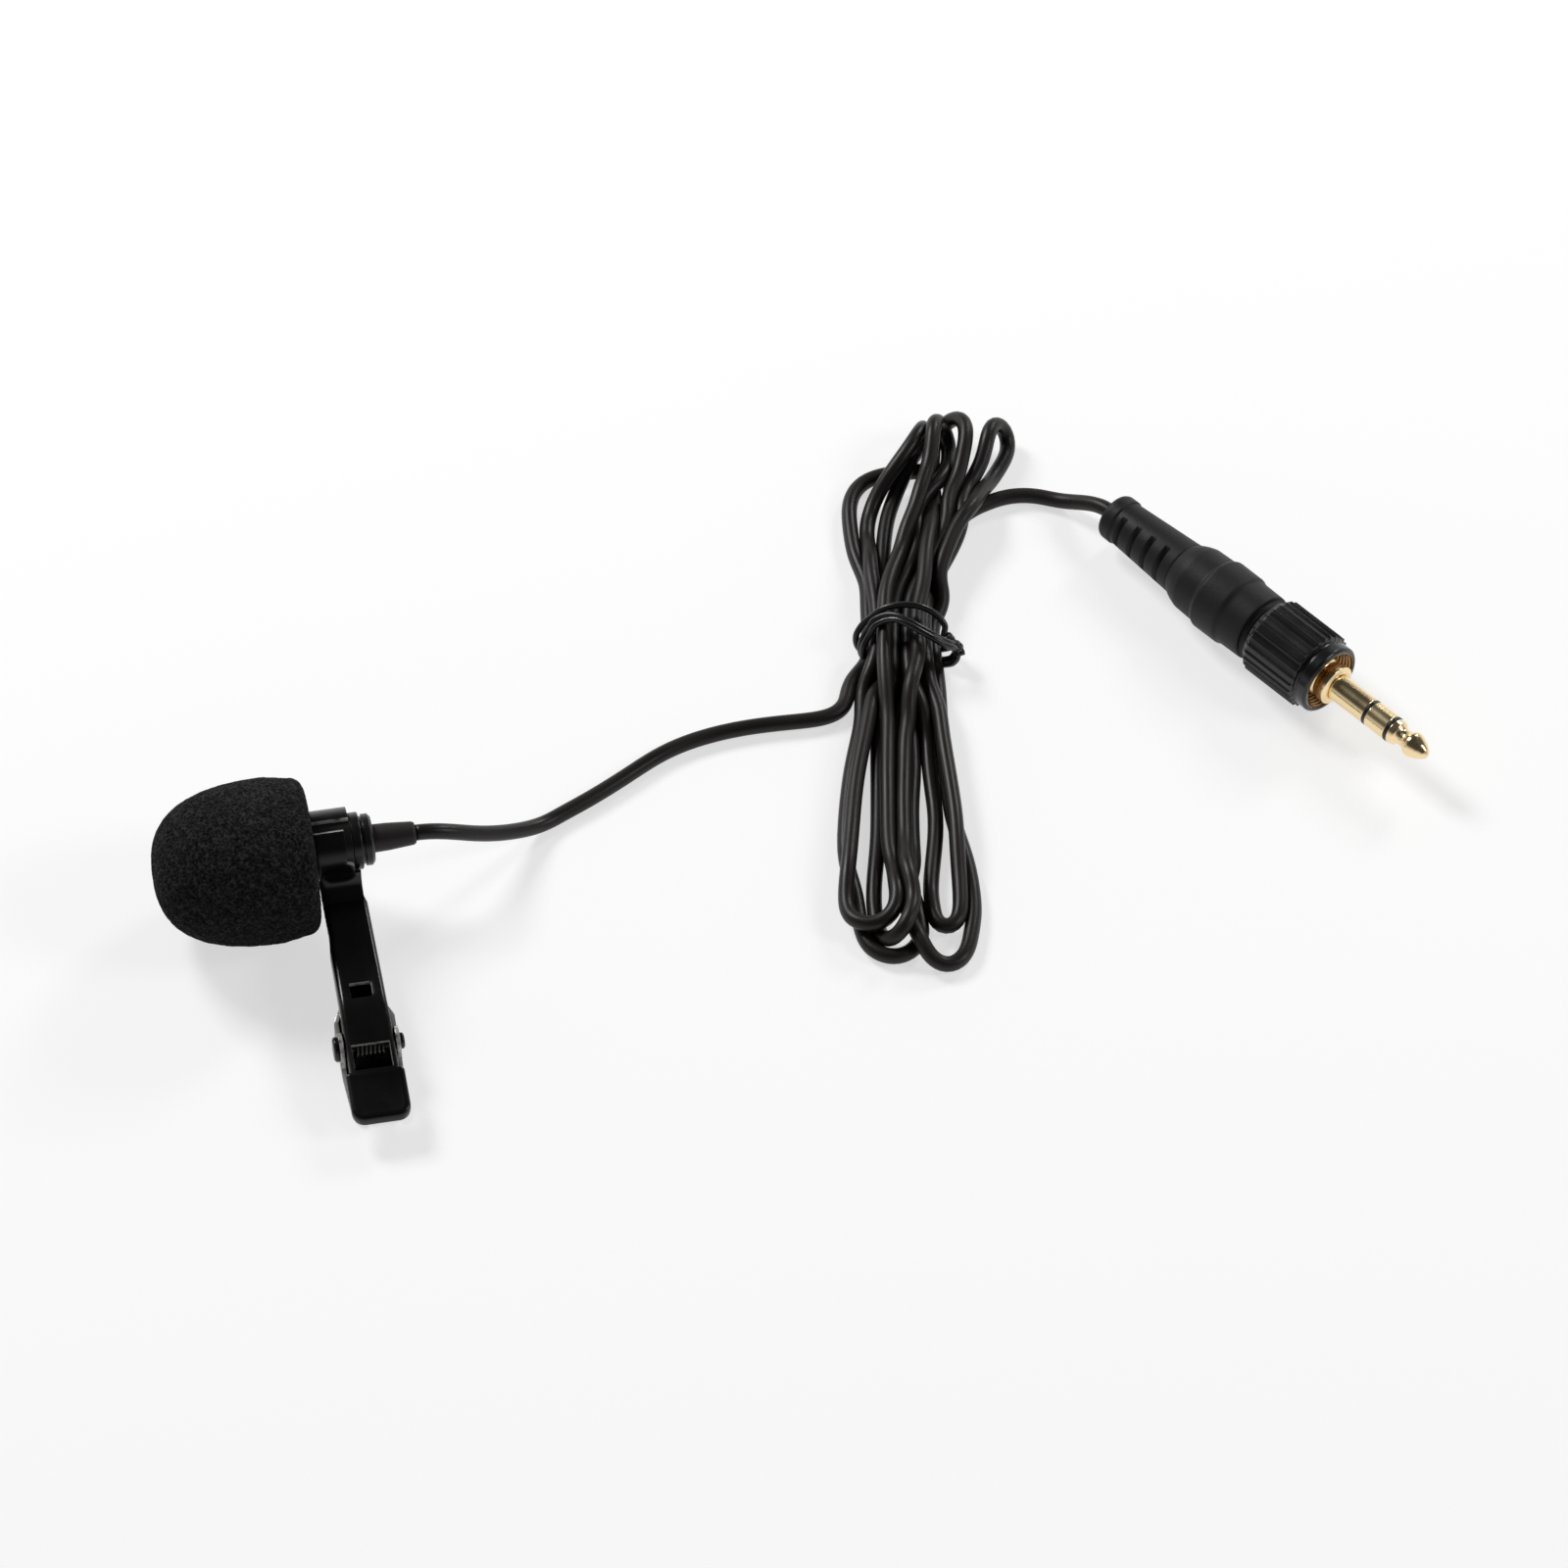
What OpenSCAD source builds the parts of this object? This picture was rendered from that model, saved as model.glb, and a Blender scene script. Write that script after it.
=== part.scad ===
// Lavalier microphone with foam windscreen, spring clip, cord tied in a hank and locking 3.5 mm plug.
// Millimetres, +Z up. The set lies on a table at z = 0: the microphone's axis runs along X with the
// windscreen towards -X, the clip points towards -Y, and the cord leaves towards +X.

/* [Windscreen] */
// Outside diameter of the foam windscreen
foam_d = 20.5; // [17:0.5:25]
// Length of the windscreen, back face to nose
foam_len = 19.6; // [17:0.2:26]
// Length of the straight part behind the windscreen's nose
foam_straight = 4.6; // [3.2:0.2:8]
// Depth of the pocket that slips over the microphone
foam_pocket = 13.2; // [11:0.2:15]
// How far the foam's outside sits off the pocket's axis
foam_offset = 1.2; // [0:0.1:1.5]
// Rounding of the windscreen's back rim
foam_rim = 1.8; // [0.8:0.1:3]

/* [Microphone] */
// Outside diameter of the microphone's barrel
barrel_d = 7.4; // [6.4:0.1:9]
// Wall of the barrel
barrel_wall = 0.5; // [0.4:0.05:0.8]
// Length of barrel in front of the clip's ring
barrel_front = 12.4; // [10:0.2:14]
// Thickness of the perforated grille
grille_t = 0.8; // [0.5:0.1:1.2]
// Diameter of one hole in the grille
grille_hole = 0.9; // [0.6:0.05:1.2]
// Length of the electret capsule
capsule_len = 2.7; // [2:0.1:4]
// Diameter of the rear cap's flange
cap_d = 7.1; // [6.2:0.1:7.4]
// Length of the rear cap outside the barrel
cap_len = 2.7; // [2:0.1:4]
// Length of the tapered strain relief outside the rear cap
relief_len = 5.3; // [3.5:0.1:8]
// Diameter of the strain relief at the rear cap
relief_d1 = 3.5; // [3:0.1:4.5]
// Diameter of the strain relief at its free end
relief_d2 = 2.9; // [2.5:0.1:3.5]

/* [Clip] */
// Thickness of the arm's sheet metal
sheet_t = 0.6; // [0.4:0.05:0.8]
// Width of the rolled ring that holds the microphone
ring_w = 4.5; // [3.5:0.1:6]
// Gap between the ring's two lips
ring_slit = 0.8; // [0.4:0.1:1.5]
// Width of the arm at the hinge
arm_w = 6; // [5.4:0.1:7]
// How far the arm sits off the ring's middle, away from the windscreen
arm_shift = 0.3; // [0:0.1:0.5]
// Distance from the microphone's axis to the hinge pin
hinge_reach = 26.5; // [24:0.5:31]
// Distance from the microphone's axis to the end of the thumb pad
pad_reach = 37.5; // [36:0.5:44]
// Width of the thumb pad
pad_w = 7.2; // [6.2:0.1:8]
// Thickness of the jaw's sheet metal
jaw_t = 0.5; // [0.4:0.05:0.7]
// Spacing of the teeth
tooth_pitch = 1.2; // [0.9:0.1:1.6]
// Depth of the teeth
tooth_h = 0.6; // [0.3:0.1:0.8]
// Diameter of the hinge pin
pin_d = 1.6; // [1.2:0.1:2]
// Wire diameter of the torsion spring
spring_wire = 0.45; // [0.3:0.05:0.6]

/* [Cord] */
// Diameter of the cord
cord_d = 2; // [1.6:0.1:2.4]
// Thickness of the cord's hank where it lies on the table
hank_t = 5.2; // [3.6:0.2:6]
// Wire diameter of the twist tie
tie_d = 0.9; // [0.6:0.1:1.2]

/* [Plug] */
// Diameter of the plug's contact pin
contact_d = 3.5; // [3.4:0.05:3.6]
// Length of the contact pin in front of the shoulder
contact_len = 15.5; // [14:0.1:17]
// Distance from the tip to the first insulating ring
tip_len = 5.7; // [4.5:0.1:6.5]
// Distance from the tip to the second insulating ring
ring_len = 9.4; // [8:0.1:10.5]
// Width of one insulating ring
insulator_w = 0.5; // [0.3:0.05:0.8]
// Diameter of the shoulder behind the contact pin
shoulder_d = 5.4; // [4.8:0.1:6]
// Outside diameter of the knurled locking collar
collar_d = 10.6; // [9.8:0.1:12]
// Length of the locking collar
collar_len = 11; // [9:0.5:13]
// Number of ribs round the collar
knurl_n = 28; // [20:1:36]
// Depth of the ribs round the collar
knurl_h = 0.3; // [0.2:0.05:0.5]
// Major diameter of the thread inside the collar's mouth
thread_d = 8; // [7:0.25:8.5]
// Diameter of the plug's moulded body
body_d = 9.9; // [9:0.1:10.6]
// Length of the moulded body
body_len = 14.5; // [12:0.5:18]
// Length of the segmented boot behind the body
boot_len = 12.9; // [10:0.5:18]
// Diameter of the boot at the moulded body
boot_d1 = 7.3; // [6.4:0.1:8]
// Diameter of the boot at the cord
boot_d2 = 5.9; // [5:0.1:6.4]
// Number of slots along each side of the boot
slot_n = 4; // [2:1:5]

/* [Hidden] */
$fn = 64;
run = 0.05;      // radial clearance of a running fit
seat = 0.02;     // clearance of a seated piece
gap = 0.3;       // clearance between neighbours that pass each other
cut = 0.1;       // overshoot of a cutting shape

// Microphone: u runs along its axis from the ring's centre, towards the cord
foam_r = foam_d / 2;
barrel_r = barrel_d / 2;
foam_back = ring_w / 2 + gap;
foam_mouth_r = foam_r * 0.95;
nose_power = 0.77;
cap_u = ring_w / 2 + 0.15;
relief_u = cap_u + cap_len;
cord_u = relief_u + relief_len;
barrel_u = foam_back + barrel_front;
barrel_bore = barrel_r - barrel_wall;
capsule_u = -barrel_u + grille_t + 1.4;
axis_z = foam_r;
axis_y = (pad_reach - (foam_r - foam_offset)) / 2;
ring_x = (foam_back + foam_len - cord_u) / 2;

// Clip: s runs from the microphone's axis towards the thumb pad, n upwards from that axis
ring_r = barrel_r + run;
ring_out = ring_r + sheet_t;
neck_u = -ring_w / 2 - arm_shift;
neck_round = 2.2;
neck_s = 6.5;
pin_z = 4.2;
pin_n = pin_z - axis_z;
pin_head_r = 1.55;
pin_head_t = 0.65;
pin_nub_r = 1;
pin_nub_t = 0.55;
arm_ear_r = 1.5;
jaw_ear_r = 1.9;
arm_hw = arm_w / 2;
bend_s = hinge_reach - 4.5;
notch_s0 = hinge_reach + 1.2;
notch_s1 = hinge_reach + 4.5;
pad_n1 = pin_n + 0.2;
jaw_in = arm_hw + 0.2;
jaw_hw = jaw_in + jaw_t;
jaw_tip = 1.2;
jaw_pad_reach = pad_reach - 2.5;
spring_r = 1.4;
spring_pitch = spring_wire + 0.08;
spring_turns = floor((arm_w - 2 * sheet_t - gap) / spring_pitch - 0.5);
arm_rise = 0.047;
bend_n = -ring_r + bend_s * arm_rise;
hinge_n = pin_n + spring_r + spring_wire / 2 + 0.1 + sheet_t;
arm_fall = (bend_n - hinge_n) / (hinge_reach - bend_s);
function arm_top(s) = s < bend_s ? -ring_r + s * arm_rise : bend_n - (s - bend_s) * arm_fall;
pad_n0 = arm_top(notch_s1);
window_s = hinge_reach - 7.2;
window_len = 2.3;
window_hw = 1.3;
clear_s = foam_mouth_r + foam_offset + gap;
// Stations of the arm: [s, left side, right side, plate's top, flange's lower edge]
arm_stations = [
    for (p = [[4.5, neck_u, arm_hw - 0.6, 1.0], [neck_s, neck_u, arm_hw - 0.1, 1.3],
              [clear_s, neck_u, arm_hw - 0.1, 1.9], [clear_s + 2.4, 0.2 - arm_hw, arm_hw - 0.1, 2.1],
              [bend_s, 0.1 - arm_hw, arm_hw - 0.1, 2.5], [hinge_reach - 2, -arm_hw, arm_hw, 2.6],
              [notch_s1 + 1.2, -arm_hw, arm_hw, 1.8]])
        [p[0], p[1], p[2], arm_top(p[0]), arm_top(p[0]) - p[3]]];
jaw_nose_hw = ring_w / 2 - 0.15;
// Stations of the jaw: [s, left side, right side, floor's underside, flange's upper edge]
jaw_stations = [
    for (p = [[jaw_tip, jaw_nose_hw, -6.4, -5.05], [4.5, jaw_nose_hw, -7.2, -4.85],
              [clear_s - 2, jaw_nose_hw, -8.2, -5.3], [clear_s + 2.4, jaw_nose_hw + 0.15, -8.8, -5.5],
              [hinge_reach - 7, jaw_nose_hw + 0.35, 1.1 - axis_z, pin_n + 0.2],
              [hinge_reach - 4, jaw_hw, 1.0 - axis_z, pin_n + 0.1],
              [hinge_reach + 2.5, jaw_hw, 0.7 - axis_z, pin_n - 1.4],
              [jaw_pad_reach - 2, jaw_hw - 0.3, 0.2 - axis_z, 1.4 - axis_z],
              [jaw_pad_reach, jaw_hw - 0.5, -axis_z, 0.9 - axis_z]])
        [p[0], -p[1], p[1], p[2], p[3]]];

// Cord: the points that the lead, the hank and the plug's lead follow on the table
cord_r = cord_d / 2;
gland = [ring_x + cord_u, axis_y, axis_z];
lead_route = [gland, gland + [2, 0, 0], gland + [5, 0.4, -1.2], gland + [9, 1.8, -3.9],
    [29.5, 17.8, 4], [33.5, 20, 2.1], [38.5, 22.7, cord_r], [44.5, 26, cord_r], [50, 28.8, cord_r],
    [55, 30.1, cord_r], [60, 30.5, cord_r], [65, 30.3, cord_r], [69, 30.3, cord_r],
    [72, 31.5, cord_r], [74.3, 34, cord_r], [76, 37, cord_r], [77.5, 40, cord_r + 0.4]];
hank_outline = [[76.7, 40], [77.9, 48], [77.5, 56], [77.6, 62], [79, 67.5], [83, 70.5], [88.5, 73.4],
    [94.5, 74], [100, 72.6], [103, 69.5], [102.4, 66], [98.8, 61], [95.8, 56], [91.8, 50], [88.6, 44],
    [87, 38], [86.4, 30], [86.6, 22], [86.1, 10], [85.2, 2], [84, -5], [82.6, -9.5], [79.5, -11.6],
    [75, -10.8], [70.5, -9.6], [67.6, -6], [65.8, 0], [66.2, 6], [67.4, 13], [69.3, 20], [72.2, 30],
    [74.9, 36]];
tie_centre = [81.9, 40.5];
tie_half = 6.2;
plug_exit = [93.5, 55, 3];
plug_yaw = 122.5;
plug_tilt = 2;
collar_k0 = contact_len + 1.4;
collar_k1 = collar_k0 + collar_len;
body_k0 = collar_k1 + 0.3;
body_k1 = body_k0 + body_len;
boot_k1 = body_k1 + boot_len;
plug_tip = [142.3, 7.5, collar_d / 2 + collar_k1 * sin(plug_tilt)];
boot_end = plug_tip + [cos(plug_yaw) * cos(plug_tilt), sin(plug_yaw) * cos(plug_tilt),
    -sin(plug_tilt)] * boot_k1;
plug_dir = [cos(plug_yaw), sin(plug_yaw), 0];
plug_route = [plug_exit, [95.5, 59, 2], [97.5, 61.2, 1.4], [100.5, 61.9, cord_r], [104, 61.3, cord_r],
    [107, 59.8, 1.6], boot_end + plug_dir * 3.4 + [-0.3, 0, -0.6], boot_end + plug_dir * 1.2, boot_end];

// Plug: k runs along its axis from the tip towards the cord
contact_r = contact_d / 2;
shoulder_r = shoulder_d / 2;
neck_r = shoulder_r - 0.4;
collar_r = collar_d / 2;
mouth_depth = 4;
web_k = collar_k0 + mouth_depth;
washer_t = 0.6;
web_k1 = collar_k1 - 1;
sleeve_seat = contact_r - 0.3;
sleeve_bore = sleeve_seat - 0.3;
ring_tube_r = sleeve_bore - 0.24;
ring_tube_bore = ring_tube_r - 0.25;
rod_r = ring_tube_bore - 0.24;
lug_k = body_k0 + 4.2;
liner_r = body_d / 2 - 1.1;
band_k = body_k0 + 3.9;
band_len = 4.7;

function arc(cx, cy, r, a0, a1, n) =
    [for (i = [0 : n]) let (a = a0 + (a1 - a0) * i / n) [cx + r * cos(a), cy + r * sin(a)]];

// Joins equal rings of points into one closed skin
module loft(rings) {
    m = len(rings[0]);
    last = len(rings) - 1;
    polyhedron(
        points = [for (ring = rings) each ring],
        faces = concat(
            [[for (j = [0 : m - 1]) j]],
            [for (i = [0 : last - 1], j = [0 : m - 1])
                each [[i * m + j, (i + 1) * m + j, (i + 1) * m + (j + 1) % m],
                      [i * m + j, (i + 1) * m + (j + 1) % m, i * m + (j + 1) % m]]],
            [[for (j = [m - 1 : -1 : 0]) last * m + j]]),
        convexity = 6);
}

// A round tube through the points of a route, whose rings are squared to one reference direction
module cord_tube(route, r, sides = 8, square_to = [0, 0, 1]) {
    last = len(route) - 1;
    loft([for (i = [0 : last])
        let (t = route[min(i + 1, last)] - route[max(i - 1, 0)],
             along = t / norm(t),
             flat = cross(along, square_to),
             side = flat / norm(flat),
             over = cross(side, along))
        [for (j = [0 : sides - 1]) let (a = 360 / sides * (j + 0.5))
            route[i] + side * r * cos(a) + over * r * sin(a)]]);
}

// Places its children in the microphone's frame, with X along the axis from the ring's centre
module on_mic() {
    translate([ring_x, axis_y, axis_z]) children();
}

// Places its children in the clip's frame, beside the microphone's by the arm's offset
module on_clip() {
    translate([ring_x + arm_shift, axis_y, axis_z]) children();
}

// A solid of revolution about X from a profile of [along, radius]
module turned(profile) {
    rotate([90, 0, 90]) rotate_extrude() polygon([for (p = profile) [p[1], p[0]]]);
}

// A turned tube between two stations
module tube_x(x0, x1, r_out, r_in) {
    turned([[x0, r_in], [x1, r_in], [x1, r_out], [x0, r_out]]);
}

// Extrudes a side view, [s, n], across the clip from u0 to u1
module side_view(points, u0, u1) {
    translate([u1, 0, 0]) rotate([90, 0, -90]) linear_extrude(u1 - u0) polygon(points);
}

// Extrudes a plan view, [s, u], upwards from n0 to n1
module plan_view(points, n0, n1) {
    translate([0, 0, n0]) rotate([0, 0, -90]) linear_extrude(n1 - n0) polygon(points);
}

// Plan outline, [s, u], through the stations' sides, drawn in by t
function plan_outline(stations, t) = concat(
    [for (p = stations) [p[0], p[1] + t]],
    [for (i = [len(stations) - 1 : -1 : 0]) [stations[i][0], stations[i][2] - t]]);

// A folded sheet-metal channel through the stations: its plate's outer face and its flanges' free
// edges follow the last two values of each, and the flanges hang from the plate's two sides
module channel(stations, t) {
    first = stations[0];
    last = stations[len(stations) - 1];
    fold = first[3] > first[4] ? -t : t;
    low = min([for (p = stations) min(p[3], p[4])]) - 1;
    high = max([for (p = stations) max(p[3], p[4])]) + 1;
    open_n = fold < 0 ? low : high;
    difference() {
        intersection() {
            side_view(concat([for (p = stations) [p[0], p[3]]],
                [for (i = [len(stations) - 1 : -1 : 0]) [stations[i][0], stations[i][4]]]),
                -2 * arm_w, 2 * arm_w);
            plan_view(plan_outline(stations, 0), low, high);
        }
        intersection() {
            side_view(concat([[first[0] - 1, first[3] + fold]],
                [for (p = stations) [p[0], p[3] + fold]],
                [[last[0] + 1, last[3] + fold], [last[0] + 1, open_n], [first[0] - 1, open_n]]),
                -arm_w, arm_w);
            plan_view(plan_outline(concat(
                [[first[0] - 1, first[1], first[2]]], stations, [[last[0] + 1, last[1], last[2]]]), t),
                low - 1, high + 1);
        }
    }
}

// A cylinder across the clip at s, n
module cross_pin(s, n, r, u0, u1) {
    translate([u0, -s, n]) rotate([0, 90, 0]) cylinder(r = r, h = u1 - u0);
}

// Places its children on the plug's axis, with X running from the tip towards the cord
module on_plug() {
    translate(plug_tip) rotate([0, plug_tilt, plug_yaw]) children();
}

// Superellipse of the windscreen's nose, from its widest place to the tip
function nose(steps) = [for (i = [0 : steps]) let (a = 90 * i / steps)
    [-foam_back - foam_straight - (foam_len - foam_straight) * pow(sin(a), nose_power),
        foam_r * pow(cos(a), nose_power)]];

module windscreen() {
    color([0.13, 0.13, 0.14])
    on_mic() difference() {
        translate([0, -foam_offset, 0])
            turned(concat(
                [[-foam_back, 0]],
                [for (p = arc(0, 0, foam_rim, 0, 90, 4))
                    [-foam_back - foam_rim + p[0], foam_mouth_r - foam_rim + p[1]]],
                nose(16)));
        translate([-foam_back - foam_pocket, 0, 0]) rotate([0, 90, 0])
            cylinder(r = barrel_r + run, h = foam_pocket + cut);
    }
}

module capsule_barrel() {
    color([0.1, 0.1, 0.1])
    on_mic() {
        tube_x(-barrel_u + grille_t + seat, cap_u - seat, barrel_r, barrel_bore);
        tube_x(-foam_back, -foam_back + 1, barrel_bore + cut, barrel_bore - 0.5);
    }
}

module front_grille() {
    hole_ring = barrel_r * 0.55;
    color([0.55, 0.55, 0.56])
    on_mic() translate([-barrel_u, 0, 0]) rotate([0, 90, 0]) difference() {
        union() {
            cylinder(r = barrel_r, h = grille_t);
            cylinder(r = barrel_bore - seat, h = grille_t + 0.8);
        }
        translate([0, 0, grille_t]) cylinder(r = barrel_bore - 0.4, h = 1);
        translate([0, 0, -cut]) cylinder(d = grille_hole, h = grille_t + 1, $fn = 24);
        for (a = [0 : 60 : 300])
            rotate(a) translate([hole_ring, 0, -cut]) cylinder(d = grille_hole, h = grille_t + 1, $fn = 24);
    }
}

module capsule_gasket() {
    color([0.2, 0.2, 0.2])
    on_mic() tube_x(capsule_u - 0.55, capsule_u - seat, barrel_bore - seat, barrel_bore - 1);
}

module electret_capsule() {
    color([0.75, 0.75, 0.77])
    on_mic() turned([[capsule_u, 0], [capsule_u, barrel_bore - seat],
        [capsule_u + capsule_len - 0.2, barrel_bore - seat],
        [capsule_u + capsule_len, barrel_bore - 0.25], [capsule_u + capsule_len, 0]]);
}

module capsule_board() {
    board_u = capsule_u + capsule_len + seat;
    color([0.1, 0.35, 0.2])
    on_mic() {
        turned([[board_u, 0], [board_u, barrel_bore - 0.1], [board_u + 0.6, barrel_bore - 0.1],
            [board_u + 0.6, 0]]);
        for (side = [-1, 1])
            translate([board_u + 0.5, side * 1.2, 0]) rotate([0, 90, 0])
                cylinder(d1 = 1.3, d2 = 0.8, h = 0.7, $fn = 24);
    }
}

module rear_cap() {
    groove_u = cap_u + cap_len * 0.45;
    color([0.1, 0.1, 0.1])
    on_mic() turned([
        [cap_u - 1.6, relief_d1 / 2 - 0.5], [cap_u - 1.6, barrel_bore - seat], [cap_u, barrel_bore - seat],
        [cap_u, cap_d / 2 - 0.15], [cap_u + 0.15, cap_d / 2], [groove_u, cap_d / 2],
        [groove_u, cap_d / 2 - 0.6], [groove_u + 0.35, cap_d / 2 - 0.6],
        [groove_u + 0.35, cap_d / 2 - 0.35], [relief_u - 0.3, cap_d / 2 - 0.35],
        [relief_u, cap_d / 2 - 0.8], [relief_u, relief_d1 / 2 - 0.5]]);
}

module strain_relief() {
    neck = relief_d1 / 2 - 0.5 - seat;
    color([0.08, 0.08, 0.08])
    on_mic() turned([
        [cap_u - 2.6, 0], [cap_u - 2.6, neck + 0.7], [cap_u - 1.6 - seat, neck + 0.7],
        [cap_u - 1.6 - seat, neck], [relief_u + seat, neck], [relief_u + seat, relief_d1 / 2],
        [relief_u + relief_len * 0.35, relief_d1 / 2 - 0.05], [cord_u - 0.25, relief_d2 / 2],
        [cord_u, relief_d2 / 2 - 0.2], [cord_u, 0]]);
}

// V cuts across the clip along one edge, pointing up or down
module tooth_row(s0, s1, n0, n1, up) {
    count = floor((s1 - s0) / tooth_pitch);
    for (i = [0 : count - 1]) {
        s = s0 + (i + 0.5) * tooth_pitch;
        n = n0 + (n1 - n0) * (s - s0) / (s1 - s0);
        side_view([[s - tooth_pitch / 2, n], [s + tooth_pitch / 2, n], [s, n + up * tooth_h]],
            -arm_w, arm_w);
    }
}

// The ring: one lip is cut a little narrower than the other, and a slit parts them on top
module mic_ring() {
    translate([-arm_shift, 0, 0]) difference() {
        tube_x(-ring_w / 2, ring_w / 2, ring_out, ring_r);
        translate([-ring_w, -ring_slit / 2, 0]) cube([2 * ring_w, ring_slit, 2 * ring_out]);
        translate([ring_w / 2 - 0.8, 0, ring_r * 0.2]) cube([1, ring_out + cut, ring_out]);
    }
}

module thumb_pad() {
    corner = 1.6;
    hw = pad_w / 2;
    drop = sheet_t;
    intersection() {
        side_view([[notch_s1, pad_n0], [pad_reach - 0.8, pad_n1 + 0.1], [pad_reach, pad_n1 - 0.5],
            [pad_reach, pad_n1 - 1.2], [pad_reach - drop, pad_n1 - 1.2],
            [pad_reach - drop, pad_n1 - 0.8], [pad_reach - 1.2, pad_n1 - 0.5],
            [notch_s1, pad_n0 - drop]], -hw, hw);
        plan_view(concat(
            [[notch_s1 - cut, -hw + 0.6], [notch_s1 + 0.6, -hw]],
            arc(pad_reach - corner, -hw + corner, corner, 270, 360, 5),
            arc(pad_reach - corner, hw - corner, corner, 0, 90, 5),
            [[notch_s1 + 0.6, hw], [notch_s1 - cut, hw - 0.6]]), pin_n - 4, pin_n + 4);
    }
}

// The neck: the plate's end runs up to the front of the ring in a hollow curve
module neck() {
    centre_n = arm_top(neck_s) + neck_round;
    centre_s = sqrt(pow(ring_out + neck_round, 2) - pow(centre_n, 2));
    side_view(concat(
        arc(centre_s, centre_n, neck_round, 180 + atan2(centre_n, centre_s), 270, 8),
        [[centre_s, centre_n - neck_round - sheet_t / 2], [0, -ring_out], [0, 0]]),
        neck_u, neck_u + ring_w);
}

module clip_arm() {
    color([0.12, 0.12, 0.12])
    on_clip() difference() {
        union() {
            mic_ring();
            neck();
            channel(arm_stations, sheet_t);
            thumb_pad();
            for (side = [-1, 1]) mirror([side < 0 ? 1 : 0, 0, 0]) {
                side_view(concat(
                    arc(hinge_reach, pin_n, arm_ear_r, 190, 350, 10),
                    [[notch_s1, arm_top(notch_s1) - 1], [hinge_reach - 2.5, arm_top(hinge_reach - 2.5) - 1]]),
                    arm_hw - sheet_t, arm_hw);
            }
        }
        rotate([0, 90, 0]) cylinder(r = ring_r, h = 3 * ring_w, center = true);
        cross_pin(hinge_reach, pin_n, pin_d / 2 + seat, -arm_w, arm_w);
        plan_view([[notch_s0, -arm_hw + sheet_t + 0.1], [notch_s0, arm_hw - sheet_t - 0.1],
            [notch_s1 + 0.2, arm_hw - sheet_t - 0.1], [notch_s1 + 0.2, -arm_hw + sheet_t + 0.1]],
            pin_n, -ring_r + 4);
        plan_view([[window_s, -window_hw], [window_s, window_hw], [window_s + window_len, window_hw],
            [window_s + window_len, -window_hw]], pin_n, 0);
        tooth_row(5, clear_s, arm_top(5) - 1.06, arm_top(clear_s) - 1.9, 1);
    }
}

module hinge_pin() {
    head_u = jaw_hw + 0.05;
    color([0.5, 0.5, 0.52])
    on_clip() {
        cross_pin(hinge_reach, pin_n, pin_d / 2, -head_u - cut, head_u + pin_nub_t);
        cross_pin(hinge_reach, pin_n, pin_head_r, -head_u - pin_head_t, -head_u);
        cross_pin(hinge_reach, pin_n, pin_nub_r, head_u, head_u + pin_nub_t);
    }
}

// Close-wound coil about the pin, with a straight leg to the arm and one to the jaw
module torsion_spring() {
    steps = 14;
    wire = spring_wire / 2;
    turns = spring_turns + 0.5;
    count = floor(turns * steps);
    coil = [for (i = [0 : count]) let (a = 100 + 360 * i / steps)
        [spring_pitch * (i / steps - turns / 2), -hinge_reach - spring_r * cos(a),
            pin_n + spring_r * sin(a)]];
    leg_a = coil[0] + [0, 5, 0.1];
    leg_b = coil[count] + [0, 5.5, -0.4];
    route = concat([leg_a, coil[0] + [0, 1.2, 0.05]], coil, [coil[count] + [0, 1.2, -0.05], leg_b]);
    color([0.6, 0.6, 0.62])
    on_clip() cord_tube(route, wire, 6, [1, 0, 0]);
}

module clip_jaw() {
    lip_t = 0.5;
    lip_hw = jaw_nose_hw - 0.05;
    color([0.1, 0.1, 0.1])
    on_clip() difference() {
        union() {
            channel(jaw_stations, jaw_t);
            translate([0, -jaw_tip, 0]) rotate([90, 0, 0]) linear_extrude(lip_t)
                polygon(concat([[lip_hw - 0.1, -6.1], [0.1 - lip_hw, -6.1]],
                    [for (i = [0 : 6]) [-lip_hw + 2 * lip_hw * i / 6, i % 2 == 0 ? -4.75 : -5.2]]));
            for (side = [-1, 1]) mirror([side < 0 ? 1 : 0, 0, 0])
                side_view(concat(arc(hinge_reach, pin_n, jaw_ear_r, -30, 210, 14),
                    [[hinge_reach - 4.5, pin_n - 2.4], [hinge_reach + 3, pin_n - 2.4]]),
                    jaw_in, jaw_hw);
        }
        cross_pin(hinge_reach, pin_n, pin_d / 2 + run, -2 * arm_w, 2 * arm_w);
        tooth_row(4.5, clear_s - 2, -4.83, -5.28, -1);
    }
}

module mic_lead() {
    color([0.07, 0.07, 0.07]) cord_tube(lead_route, cord_r);
}

module cable_hank() {
    color([0.07, 0.07, 0.07])
    linear_extrude(hank_t) polygon(hank_outline);
}

// A wire bent once round the hank's waist, its two ends twisted together beside it
module twist_tie() {
    r = tie_d / 2;
    square = 0.75;
    loop = [for (i = [0 : 22]) let (a = -25 - 310 * i / 22)
        [tie_centre[0] + tie_half * sign(cos(a)) * pow(abs(cos(a)), square),
         tie_centre[1] - 1.6 * cos(a),
         r + (hank_t / 2 + 0.2) * (1 + sign(sin(a)) * pow(abs(sin(a)), square))]];
    color([0.09, 0.09, 0.09])
    cord_tube(loop, r, 6, [0, 1, 0]);
}

module plug_lead() {
    color([0.07, 0.07, 0.07]) cord_tube(plug_route, cord_r);
}

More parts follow.
